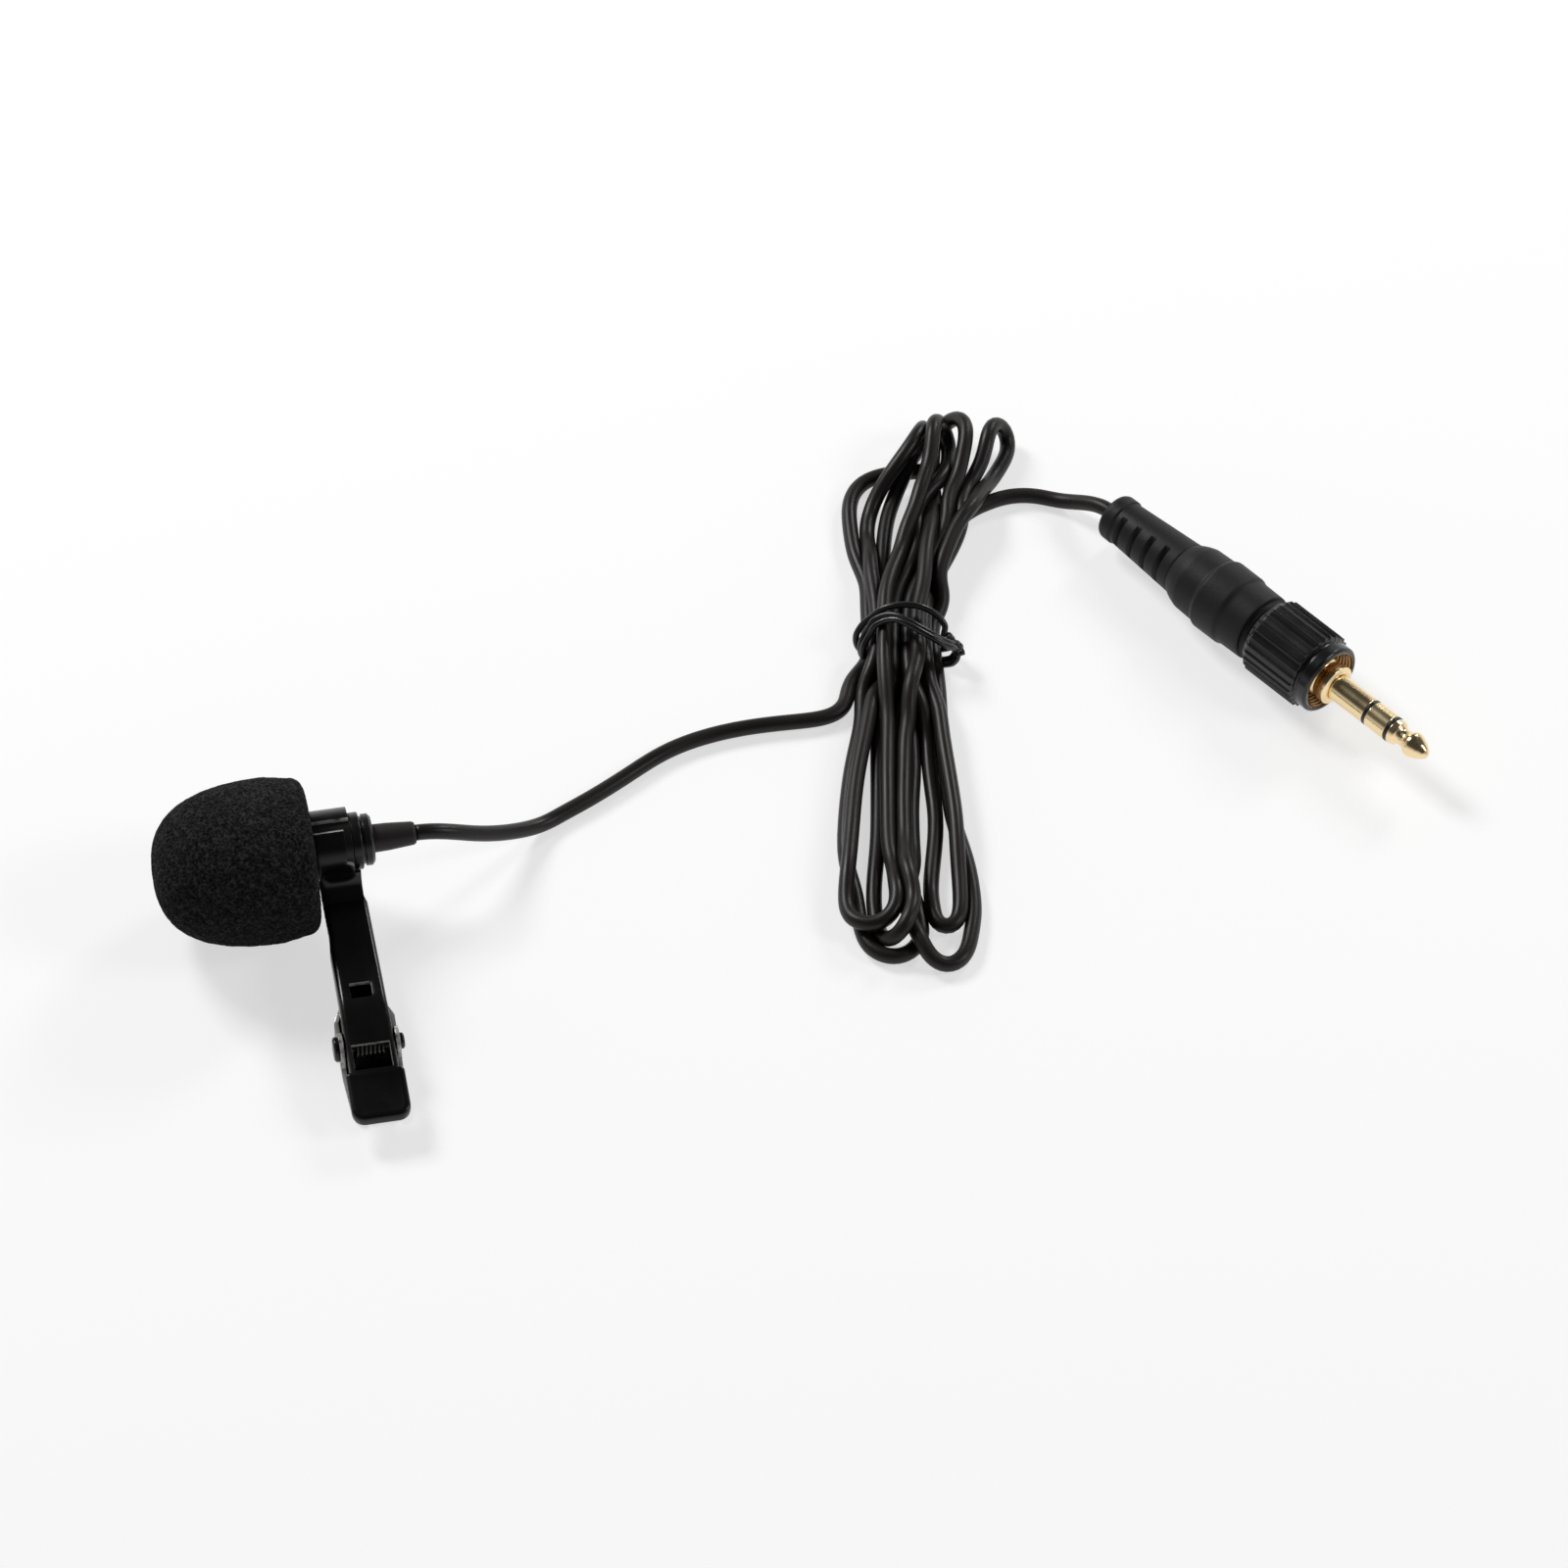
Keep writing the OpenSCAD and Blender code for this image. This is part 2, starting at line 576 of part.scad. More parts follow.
module plug_boot() {
    slot_w = 0.7;
    slot_pitch = 2.5;
    slot_roll = 35;
    color([0.16, 0.17, 0.17])
    on_plug() difference() {
        turned([
            [body_k1 - 2, 0], [body_k1 - 2, boot_d1 / 2 - 0.6], [body_k1 + seat, boot_d1 / 2 - 0.6],
            [body_k1 + seat, boot_d1 / 2], [boot_k1 - 2.2, boot_d2 / 2], [boot_k1 - 2.1, boot_d2 / 2 + 0.25],
            [boot_k1 - 0.6, boot_d2 / 2 + 0.2], [boot_k1, boot_d2 / 2 - 0.4], [boot_k1, 0]]);
        for (i = [0 : slot_n - 1], side = [0, 180])
            rotate([side + slot_roll, 0, 0])
                translate([body_k1 + 1.6 + i * slot_pitch, -boot_d1, boot_d1 / 2 - 1.5])
                    cube([slot_w, 2 * boot_d1, boot_d1]);
    }
}

module plug_body() {
    r = body_d / 2;
    color([0.16, 0.17, 0.17])
    on_plug() turned([
        [body_k0, neck_r + 1.2], [body_k0, r - 0.9], [body_k0 + 0.7, r - 0.9], [body_k0 + 0.7, r - 0.35],
        [band_k, r - 0.28], [band_k + 0.8, r], [band_k + band_len, r], [band_k + band_len + 0.4, r - 0.35],
        [body_k1 - 1.9, r - 0.45], [body_k1 - 0.6, r - 1], [body_k1, boot_d1 / 2],
        [body_k1, boot_d1 / 2 - 0.6 + seat], [body_k1 - 2 - seat, boot_d1 / 2 - 0.6 + seat],
        [body_k1 - 2 - seat, liner_r + seat], [body_k0 + 1.2, liner_r + seat],
        [body_k0 + 1.2, neck_r + 1.2]]);
}

module plug_liner() {
    k0 = body_k0 + 1.2 + seat;
    k1 = body_k1 - 2 - 2 * seat;
    color([0.7, 0.7, 0.72])
    on_plug() turned([[k0, neck_r + seat], [k0, liner_r], [k1, liner_r], [k1, liner_r - 0.4],
        [k0 + 0.6, liner_r - 0.4], [k0 + 0.6, neck_r + seat]]);
}

module cord_clamp() {
    k1 = body_k1 - 2 - 3 * seat;
    color([0.72, 0.72, 0.74])
    on_plug() difference() {
        union() {
            tube_x(k1 - 3, k1, cord_r + 0.4, cord_r);
            tube_x(k1 - 0.5, k1, liner_r - 0.4 - seat, cord_r + 0.3);
        }
        translate([k1 - 4, -0.25, 0]) cube([3.2, 0.5, 5]);
    }
}

module contact_board() {
    color([0.1, 0.35, 0.2])
    on_plug() translate([lug_k + 0.6, -2.2, -0.4]) cube([3, 4.4, 0.8]);
}

// Ring of straight ribs: a closed outline that steps in and out round the collar
function knurl_outline() = [for (i = [0 : knurl_n - 1]) let (a = 360 / knurl_n)
    each [for (q = [[-0.32, 0], [0.12, 0], [0.22, knurl_h], [0.58, knurl_h]])
        let (r = collar_r - q[1]) [r * cos(a * (i + q[0])), r * sin(a * (i + q[0]))]]];

module locking_collar() {
    front = collar_r - 0.6;
    ribs_k = collar_k0 + 2;
    bevel = 0.7;
    color([0.05, 0.05, 0.05])
    on_plug() difference() {
        union() {
            turned([[collar_k0, 0], [collar_k0, front - 0.3], [collar_k0 + 0.3, front],
                [ribs_k - 0.4, front], [ribs_k - 0.4, front - 0.3], [ribs_k, front - 0.3],
                [collar_k1, front - 0.3], [collar_k1, 0]]);
            intersection() {
                translate([ribs_k, 0, 0]) rotate([90, 0, 90]) linear_extrude(collar_k1 - ribs_k)
                    polygon(knurl_outline());
                turned([[ribs_k, 0], [ribs_k, collar_r - 0.2], [ribs_k + 0.2, collar_r + cut],
                    [collar_k1 - bevel, collar_r + cut], [collar_k1, collar_r - bevel], [collar_k1, 0]]);
            }
        }
        translate([collar_k0 - cut, 0, 0]) rotate([0, 90, 0]) cylinder(d = thread_d, h = mouth_depth + cut);
        translate([collar_k0, 0, 0]) rotate([0, 90, 0]) cylinder(r = neck_r + run, h = collar_len + 1);
        translate([web_k1, 0, 0]) rotate([0, 90, 0]) cylinder(r = neck_r + 1.1, h = 2);
    }
}

module collar_washer() {
    color([0.6, 0.6, 0.6])
    on_plug() tube_x(web_k1 + 0.1, web_k1 + 0.1 + washer_t, neck_r + 1, neck_r + seat);
}

module plug_ferrule() {
    color([0.85, 0.68, 0.3])
    on_plug() turned([
        [contact_len, sleeve_seat + seat], [contact_len, shoulder_r - 0.3], [contact_len + 0.3, shoulder_r],
        [contact_len + 1.3, shoulder_r], [contact_len + 1.6, shoulder_r - 0.35],
        [contact_len + 2.1, shoulder_r - 0.35], [contact_len + 2.4, shoulder_r], [web_k - 0.1, shoulder_r],
        [web_k - 0.1, neck_r], [body_k0 + 3, neck_r], [body_k0 + 3, sleeve_seat + seat]]);
}

module sleeve_contact() {
    k0 = ring_len + insulator_w + seat;
    color([0.88, 0.7, 0.3])
    on_plug() turned([[k0, sleeve_bore], [k0, contact_r - 0.05], [k0 + 0.1, contact_r],
        [contact_len - seat, contact_r], [contact_len - seat, sleeve_seat],
        [lug_k - 1.2, sleeve_seat], [lug_k - 1.2, sleeve_bore]]);
}

module ring_insulator() {
    color([0.06, 0.06, 0.06])
    on_plug() turned([[ring_len + seat, ring_tube_r + seat], [ring_len + seat, contact_r],
        [ring_len + insulator_w, contact_r], [ring_len + insulator_w, sleeve_bore - seat],
        [lug_k - 0.8, sleeve_bore - seat], [lug_k - 0.8, ring_tube_r + seat]]);
}

module ring_contact() {
    k0 = tip_len + insulator_w + seat;
    color([0.88, 0.7, 0.3])
    on_plug() turned([[k0, ring_tube_bore], [k0, contact_r - 0.1], [k0 + 0.1, contact_r],
        [ring_len - 0.1, contact_r], [ring_len, contact_r - 0.1], [ring_len, ring_tube_r],
        [lug_k - 0.3, ring_tube_r], [lug_k - 0.3, ring_tube_bore]]);
}

module tip_insulator() {
    color([0.06, 0.06, 0.06])
    on_plug() turned([[tip_len + seat, rod_r + seat], [tip_len + seat, contact_r],
        [tip_len + insulator_w, contact_r], [tip_len + insulator_w, ring_tube_bore - seat],
        [lug_k, ring_tube_bore - seat], [lug_k, rod_r + seat]]);
}

module tip_contact() {
    color([0.88, 0.7, 0.3])
    on_plug() turned([[0, 0], [0.05, 0.35], [0.35, 0.7], [1.9, 1.55], [2.4, 1.7], [2.8, 1.66],
        [3.6, 1.15], [4.3, 1.12], [4.8, 1.5], [tip_len, 1.6], [tip_len, rod_r],
        [lug_k + 0.5, rod_r], [lug_k + 0.5, 0]]);
}

windscreen();
capsule_barrel();
front_grille();
capsule_gasket();
electret_capsule();
capsule_board();
rear_cap();
strain_relief();
clip_arm();
hinge_pin();
torsion_spring();
clip_jaw();
mic_lead();
cable_hank();
twist_tie();
plug_lead();
plug_boot();
plug_body();
plug_liner();
cord_clamp();
contact_board();
locking_collar();
collar_washer();
plug_ferrule();
sleeve_contact();
ring_insulator();
ring_contact();
tip_insulator();
tip_contact();
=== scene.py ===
import math
import bmesh
import bpy
import numpy as np
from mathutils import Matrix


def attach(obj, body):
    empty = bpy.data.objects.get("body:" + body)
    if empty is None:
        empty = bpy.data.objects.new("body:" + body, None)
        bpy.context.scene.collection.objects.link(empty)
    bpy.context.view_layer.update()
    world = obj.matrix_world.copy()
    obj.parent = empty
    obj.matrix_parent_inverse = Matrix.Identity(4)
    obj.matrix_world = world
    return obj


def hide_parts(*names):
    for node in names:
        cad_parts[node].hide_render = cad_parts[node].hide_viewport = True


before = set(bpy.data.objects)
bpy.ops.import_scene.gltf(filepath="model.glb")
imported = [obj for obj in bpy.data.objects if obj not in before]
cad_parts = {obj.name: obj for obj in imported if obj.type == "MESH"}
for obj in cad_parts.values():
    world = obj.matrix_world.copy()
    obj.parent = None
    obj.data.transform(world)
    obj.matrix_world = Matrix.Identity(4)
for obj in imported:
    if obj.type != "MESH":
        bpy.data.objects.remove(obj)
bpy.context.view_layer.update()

# ---- Camera ----
# A long lens above the table, in front of the microphone and a little to its left. It looks down at
# about fifty degrees and is tipped by less than one.


def placed(name, data):
    """A new object in the scene."""
    found = bpy.data.objects.new(name, data)
    bpy.context.scene.collection.objects.link(found)
    return found


camera = placed("camera", bpy.data.cameras.new("camera"))
camera.data.lens = 180
camera.data.sensor_width = 36
camera.data.clip_end = 20
camera.location = (-0.0566, -0.5731, 0.7667)
camera.rotation_euler = [math.radians(turn) for turn in (38.362, -0.710, -10.537)]
bpy.context.scene.camera = camera

# ---- Cord ----
# Thin round cable in a soft black jacket: one length from the microphone's strain relief, wound
# into a flat hank of five turns, to the boot of the plug. It lies on the table under its own weight.
MM = 0.001
cord_radius = 1.0
gland = (16.275, 14.225, 10.25)
lead_from_microphone = [
    gland, (18.275, 14.225, 10.25), (21.275, 14.625, 9.05), (25.275, 16.025, 6.35), (29.5, 17.9, 4),
    (33.5, 20.2, 2.1), (38.5, 22.5, 1), (44.5, 25.7, 1), (50, 28.7, 1), (55, 30.1, 1), (60, 30.7, 1),
    (65, 30.7, 1), (69, 30.7, 1), (73.3, 31.7, 1), (77, 34.6, 1)]
hank_turns = [
    # up through the tie and round the loose loop at the far left
    [(78.6, 37.7, 1), (78.8, 41.9, 1), (79.4, 45.8, 1), (80.1, 49.7, 1), (80.2, 53.7, 1),
     (79.6, 58.1, 1), (79.8, 62.1, 1), (80.7, 65.6, 1), (82.6, 67.9, 1), (85.1, 68.6, 1),
     (88.1, 68.5, 1), (90.8, 68.2, 1), (92.8, 67.9, 1), (93.5, 65.7, 1), (92.2, 62.7, 1),
     (89.5, 58.7, 1), (86.7, 54.5, 1), (84.3, 49.7, 1), (83, 45.1, 1), (82.1, 41.2, 1)],
    # down to the outermost loop on the left
    [(80.6, 34.2, 1), (78.9, 26.5, 1), (77.2, 18.9, 1), (76.1, 11.2, 1), (75.8, 5, 1), (76.3, 0, 1),
     (76.3, -3.5, 1), (74.9, -6.5, 1), (72.1, -8.1, 1), (70.1, -6.5, 1), (69.1, -3, 1), (68.8, 2.4, 1),
     (69, 7.8, 1), (70.1, 13.1, 1), (71.9, 19.8, 1), (74.3, 26.5, 1), (77.2, 34, 1), (78.6, 38.9, 2.7)],
    # up to a loop that stands on edge
    [(79.6, 42.7, 2.7), (80, 46.7, 2.7), (80.2, 52.9, 2), (81, 58.1, 1.6), (82.4, 62.2, 2),
     (83.7, 64.5, 3.6), (86.3, 66.8, 5.2), (89.4, 69.8, 6.4), (90.5, 71.4, 6.6), (91.4, 72.6, 5.8),
     (91.7, 73.3, 4.2), (91.1, 72.8, 2.5), (90.6, 71.3, 1.4), (88.1, 67.3, 2.6), (85.6, 63.9, 2.6),
     (84.5, 61.1, 1.2), (82.6, 55, 1), (81.5, 49.4, 1), (80.8, 43.8, 1)],
    # down to the second loop from the left
    [(80, 40, 1), (77.7, 34.2, 1.5), (74.9, 27, 2.2), (72.4, 19.9, 2.8), (70.3, 12.3, 2.8),
     (68.8, 5.6, 2.8), (68, 0.1, 2.8), (67.8, -1.1, 2), (68.5, -2.9, 2.6), (70.2, -3.8, 3.5),
     (71.8, -3.5, 4.4), (73.1, -2.2, 5), (74.7, 6.4, 3.4), (75.7, 14.6, 2.8), (77.1, 23.7, 2.8),
     (78.7, 31.6, 3.6), (79.8, 38, 4.4)],
    # up to the next loop on edge
    [(80.6, 42.7, 4.4), (82.1, 47.3, 4.4), (84, 51.4, 4), (86.7, 56.7, 4), (88.7, 61.4, 4.8),
     (90.7, 65.7, 6.2), (92, 69.7, 7.4), (92.6, 71.3, 7.5), (93, 72.6, 6.6), (93.3, 73.1, 5),
     (93.5, 72.5, 3.4), (93.8, 71, 2.4), (92.7, 66.8, 2.6), (90.8, 61.8, 3), (88, 56.5, 3),
     (85.1, 51.2, 3), (82.9, 46.9, 2.7), (81.5, 42.3, 2.7)],
    # down to the middle loop
    [(80.1, 36.9, 2.7), (78.1, 30.7, 1.8), (76.4, 23.7, 1), (74.8, 16.1, 1), (73, 8.7, 1),
     (71.6, 3.4, 1), (70.5, -2.7, 2.6), (70.2, -4.2, 2.6), (71, -5.6, 3.1), (72.2, -6.3, 3.8),
     (73.5, -6, 4.4), (74.4, -4.8, 4.8), (75.4, 3.5, 3), (76.7, 11.3, 2.8), (78.7, 20.3, 2.8),
     (81, 28.1, 3.4), (83.2, 35.8, 4.4)],
    # up to the arched loop
    [(84.4, 41.2, 4.4), (85.7, 45.8, 4.4), (87.3, 50.7, 4), (89.5, 56.7, 3.4), (91.2, 62.8, 2.6),
     (92.3, 67.8, 2.4), (93, 72.2, 3), (93.8, 73.8, 3.5), (94.9, 74.5, 4.5), (95.6, 74.1, 5.7),
     (96.7, 72.7, 6.4), (96.6, 71, 6.6), (94.6, 66, 5), (92.6, 61.1, 3.4), (90.7, 56.3, 2.6),
     (87.5, 51, 2.7), (85, 46.5, 2.7), (83.4, 42, 2.7)],
    # down to the small loop on the right
    [(82.3, 35.7, 2.7), (82.1, 29.2, 1.8), (82.4, 23.3, 1.2), (81.9, 17.2, 1), (80.7, 10.4, 1),
     (78.8, 3.4, 1.4), (77.7, -0.9, 2), (77.4, -2.9, 2.2), (77.9, -4.3, 2.5), (79.1, -4.8, 2.8),
     (80.3, -4.2, 2.8), (81.1, -2.7, 2.8), (82.3, 2.4, 2.8), (83.1, 9.3, 2.8), (83.6, 16.2, 2.8),
     (84.2, 24, 2.8), (84.4, 32, 2.8), (84.6, 37.6, 2.8)],
    # up to the open loop at the far right
    [(85.2, 41.6, 2.8), (86.4, 46.3, 2.7), (88.6, 50.9, 2.6), (90.9, 55.5, 2.6), (93.5, 60.1, 2.8),
     (96.6, 64.6, 3.4), (98.4, 67.2, 4.8), (99.2, 69.3, 6), (99.8, 71.1, 6), (100.7, 72.1, 5.2),
     (101.8, 72.1, 4.1), (102.3, 71.1, 2.9), (101.8, 69.4, 2.2), (99.8, 66.8, 2), (97.6, 63.5, 3),
     (95.2, 60.7, 3), (92.4, 57.3, 3), (89.2, 52.1, 3), (86.7, 46.8, 3), (85.8, 43, 1)],
    # down to the large loop on the right
    [(85.7, 37.3, 1), (84.9, 30.2, 1), (83.9, 23.2, 1), (83.4, 16.9, 1), (83.2, 10.7, 1),
     (83.3, 4.4, 1), (82.9, -0.9, 1), (81.6, -6.1, 1.2), (80.8, -8.4, 1.2), (79.2, -10.1, 1.6),
     (77.7, -10.3, 2.3), (76.1, -9, 2.9), (75.4, -6.8, 3.2), (75, -2.7, 3.2), (75.7, 3.5, 2),
     (77.1, 10.2, 1), (78.8, 17, 1), (80.9, 25.3, 1), (82.6, 33, 1), (84, 40, 1)],
    # up under the right side and out of the hank
    [(84.7, 43.9, 1), (85.9, 48.7, 1), (88, 52.3, 1), (90, 55.3, 1), (92.3, 58.2, 1), (94.6, 60.9, 1),
     (97.7, 62, 1)]]
lead_to_plug = [(100.5, 62.3, 1), (104, 61.8, 1), (107, 60.2, 1.6), (110.3, 57.2, 3.7),
                (111.8, 55.4, 4.33), (112.444, 54.364, 4.333)]


def spaced(line, step):
    """The same line with points a fixed step apart, interpolated on its arc length."""
    along = np.r_[0, np.cumsum(np.linalg.norm(np.diff(line, axis=0), axis=1))]
    wanted = np.linspace(0, along[-1], int(round(along[-1] / step)) + 1)
    return np.stack([np.interp(wanted, along, line[:, k]) for k in range(3)], 1)


def curve_through(points, step):
    """A smooth line through the points: on each span, a cubic whose end slopes are the finite
    differences over the chord lengths on both sides of each point. It comes back evenly spaced."""
    p = np.asarray(points, float)
    chord = np.linalg.norm(np.diff(p, axis=0), axis=1)
    slope = np.diff(p, axis=0) / chord[:, None]
    share = (chord[:-1] / (chord[:-1] + chord[1:]))[:, None]
    tangent = np.vstack([slope[:1], slope[:-1] * (1 - share) + slope[1:] * share, slope[-1:]])
    t = np.linspace(0, 1, 24, endpoint=False)[None, :, None]
    h = chord[:, None, None]
    p0, p1 = p[:-1, None], p[1:, None]
    m0, m1 = tangent[:-1, None] * h, tangent[1:, None] * h
    line = ((2 * t**3 - 3 * t**2 + 1) * p0 + (t**3 - 2 * t**2 + t) * m0
            + (3 * t**2 - 2 * t**3) * p1 + (t**3 - t**2) * m1)
    return spaced(np.vstack([line.reshape(-1, 3), p[-1:]]), step)


def laid_down(line, diameter, rounds):
    """Lets a cord settle. In each round, strands that cross push each other a diameter apart,
    bending stiffness (the fourth difference) evens out the curves, every step keeps its length,
    and the cord sinks a little, down to the table. The two ends are held where they are."""
    push_share, stiffness, length_share, plan_share, sink, held = 0.3, 0.055, 0.25, 0.008, 0.006, 25
    line, plan, count = line.copy(), line[:, :2].copy(), len(line)
    step = np.linalg.norm(np.diff(line, axis=0), axis=1).mean()
    place = np.arange(count)
    free = np.clip(np.minimum(place, count - 1 - place) / held, 0, 1)[:, None]
    for turn in range(rounds):
        if turn % 6 == 0:
            dots = line @ line.T
            square = np.diag(dots)[:, None] + np.diag(dots)[None] - 2 * dots
            near = np.triu(square < (1.35 * diameter) ** 2, int(3 * diameter / step))
            one, other = np.nonzero(near)
        apart = line[one] - line[other]
        distance = np.linalg.norm(apart, axis=1) + 1e-9
        push = apart * (np.maximum(diameter - distance, 0) / distance * push_share)[:, None]
        touching = (distance < diameter).astype(float)
        touches = np.bincount(one, touching, count) + np.bincount(other, touching, count)
        move = np.stack([np.bincount(one, push[:, k], count) - np.bincount(other, push[:, k], count)
                         for k in range(3)], 1)
        line += move / np.sqrt(np.maximum(touches, 1))[:, None] * free
        for _ in range(3):
            second = np.zeros_like(line)
            second[1:-1] = line[:-2] - 2 * line[1:-1] + line[2:]
            fourth = np.zeros_like(line)
            fourth[2:-2] = second[1:-3] - 2 * second[2:-2] + second[3:-1]
            line -= stiffness * fourth * free
        for _ in range(2):
            edge = np.diff(line, axis=0)
            pull = edge * (1 - step / np.linalg.norm(edge, axis=1))[:, None] * length_share
            line[:-1] += pull * free[:-1]
            line[1:] -= pull * free[1:]
        line[:, :2] += plan_share * (plan - line[:, :2]) * free
        line[:, 2] = np.maximum(line[:, 2] - sink * free[:, 0], diameter / 2)
    return line


def grid_faces(rows, columns, round_rows=False, round_columns=False, keep=None):
    """Four-sided faces of a grid of points, as an array, joined round where it closes on itself."""
    i = np.arange(rows if round_rows else rows - 1)
    j = np.arange(columns if round_columns else columns - 1)
    i, j = np.meshgrid(i, j, indexing="ij")
    i2, j2 = (i + 1) % rows, (j + 1) % columns
    faces = np.stack([i * columns + j, i * columns + j2, i2 * columns + j2, i2 * columns + j], -1)
    return faces[keep] if keep is not None else faces.reshape(-1, 4)


def tube(line, radius, sides):
    """A round tube with closed ends: rings of points square to the line. Each ring's first
    direction is the last ring's, turned as little as possible, so that the tube doesn't twist."""
    line = np.asarray(line, float)
    tangent = np.gradient(line, axis=0)
    tangent /= np.linalg.norm(tangent, axis=1)[:, None]
    side = np.cross(tangent[0], (0.1, 0.2, 1.0))
    found = []
    for t in tangent:
        side = side - t * (side @ t)
        side = side / np.linalg.norm(side)
        found.append(side)
    side = np.array(found)
    over = np.cross(side, tangent)
    a = np.linspace(0, 2 * math.pi, sides, endpoint=False)[None, :, None]
    rings = line[:, None] + radius * (side[:, None] * np.cos(a) + over[:, None] * np.sin(a))
    first = np.broadcast_to(line[:1, None], rings[:1].shape)
    last = np.broadcast_to(line[-1:, None], rings[:1].shape)
    rings = np.concatenate([first, rings, last])
    return rings, grid_faces(len(rings), sides, round_columns=True)


def made(name, parts, material):
    """One mesh object from parts, each its points in mm, its faces and, where given, values by
    name for each point or face. Doubles at poles and seams are merged, and a closed shell that
    came out inside out (negative volume) is turned."""
    mesh = bpy.data.meshes.new(name)
    built = bmesh.new()
    doubles = 2e-7
    for points, faces, *values in parts:
        points = np.asarray(points, float).reshape(-1, 3)
        part = bpy.data.meshes.new("part")
        part.from_pydata(points * MM, [], np.asarray(faces).tolist())
        for key, value in (values[0] if values else {}).items():
            domain = "POINT" if len(value) == len(points) else "FACE"
            part.attributes.new(key, "FLOAT", domain).data.foreach_set("value", np.asarray(value, np.float32))
        one = bmesh.new()
        one.from_mesh(part)
        bmesh.ops.remove_doubles(one, verts=one.verts, dist=doubles)
        if one.calc_volume(signed=True) < 0 and all(len(e.link_faces) == 2 for e in one.edges):
            bmesh.ops.reverse_faces(one, faces=one.faces)
        one.to_mesh(part)
        one.free()
        built.from_mesh(part)
        bpy.data.meshes.remove(part)
    built.to_mesh(mesh)
    built.free()
    mesh.shade_smooth()
    mesh.materials.append(material)
    return placed(name, mesh)


def finish_of(name, colour, roughness, metallic=0.0, specular=0.5):
    """A Principled material with its even values set on the shader's own sockets."""
    material = bpy.data.materials.new(name)
    material.use_nodes = True
    shader = material.node_tree.nodes["Principled BSDF"]
    shader.inputs["Base Color"].default_value = (*colour, 1)
    shader.inputs["Roughness"].default_value = roughness
    shader.inputs["Metallic"].default_value = metallic
    shader.inputs["Specular IOR Level"].default_value = specular
    return material, material.node_tree, shader


def node(tree, kind, wire=None, **values):
    """Adds a node and sets its options and sockets. wire gives inputs by name or place, each
    another node's output or a value."""
    added = tree.nodes.new(kind)
    for key, value in values.items():
        if hasattr(added, key):
            setattr(added, key, value)
        else:
            added.inputs[key.replace("_", " ")].default_value = value
    for key, given in (wire or {}).items():
        if isinstance(given, bpy.types.NodeSocket):
            tree.links.new(given, added.inputs[key])
        else:
            added.inputs[key].default_value = given
    return added


def combined(tree, operation, one, other):
    """The product or the larger of two values, each a number or another node's output."""
    return node(tree, "ShaderNodeMath", {0: one, 1: other}, operation=operation).outputs[0]


def blended(tree, factor, low, high):
    """A colour between two, each an (r, g, b) or another node's output, by a factor from 0 to 1."""
    low, high = ((*colour, 1) if isinstance(colour, tuple) else colour for colour in (low, high))
    return node(tree, "ShaderNodeMix", {"Factor": factor, 6: low, 7: high}, data_type="RGBA").outputs[2]


def grained(name, cloud, dark, light, gloss, grain, relief, metallic=0.0, specular=0.5,
            stretch=(1, 1, 1)):
    """A material with uneven colour and gloss from a soft noise of so many clouds a metre, and a
    fine grain of so many dots a metre in relief. Gloss is the roughness at the noise's low and
    high ends."""
    material, tree, shader = finish_of(name, dark, gloss[0], metallic, specular)
    place = node(tree, "ShaderNodeTexCoord").outputs["Object"]
    mapped = node(tree, "ShaderNodeMapping", {"Vector": place}, Scale=stretch).outputs[0]
    clouds = node(tree, "ShaderNodeTexNoise", {"Vector": mapped}, Scale=cloud, Detail=4.0)
    colour = blended(tree, clouds.outputs[0], dark, light)
    tree.links.new(colour, shader.inputs["Base Color"])
    rough = node(tree, "ShaderNodeMapRange", {"Value": clouds.outputs[0]}, From_Min=0.3, From_Max=0.7,
                 To_Min=gloss[0], To_Max=gloss[1])
    tree.links.new(rough.outputs[0], shader.inputs["Roughness"])
    dots = node(tree, "ShaderNodeTexNoise", {"Vector": mapped}, Scale=grain, Detail=3.0)
    bump = node(tree, "ShaderNodeBump", {"Height": dots.outputs[0]}, Strength=1.0, Distance=relief)
    tree.links.new(bump.outputs[0], shader.inputs["Normal"])
    return material


jacket = grained("cord_jacket", 90, (0.009, 0.007, 0.0064), (0.017, 0.0136, 0.0126), (0.34, 0.48),
                 2600, 1e-5, specular=0.3)

cord_path = curve_through(lead_from_microphone + sum(hank_turns, []) + lead_to_plug, 0.9)
cord_path = curve_through(laid_down(cord_path, 2 * cord_radius, 220), 0.55)
cord_path[:, 2] = np.maximum(cord_path[:, 2], cord_radius)
cord = made("cord", [tube(cord_path, cord_radius, 16)], jacket)
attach(cord, "microphone")
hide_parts("mic_lead", "cable_hank", "plug_lead")

# ---- Twist tie ----
# Soft iron wire in a thin black plastic coat, wound three times round the hank's waist. It is pulled
# tight by hand, and its two ends are twisted together beside the hank.
tie_radius = 0.42
tie_coat = grained("tie_coating", 200, (0.006, 0.006, 0.006), (0.014, 0.014, 0.014), (0.2, 0.36),
                   3000, 1e-5)
twist_start = np.array([87.6, 38.7, 3.4])
twist_axis = np.array([0.62, -0.72, -0.3])
twist_axis /= np.linalg.norm(twist_axis)
twist_side = np.cross(twist_axis, (0, 0, 1))
twist_side /= np.linalg.norm(twist_side)
twist_over = np.cross(twist_side, twist_axis)


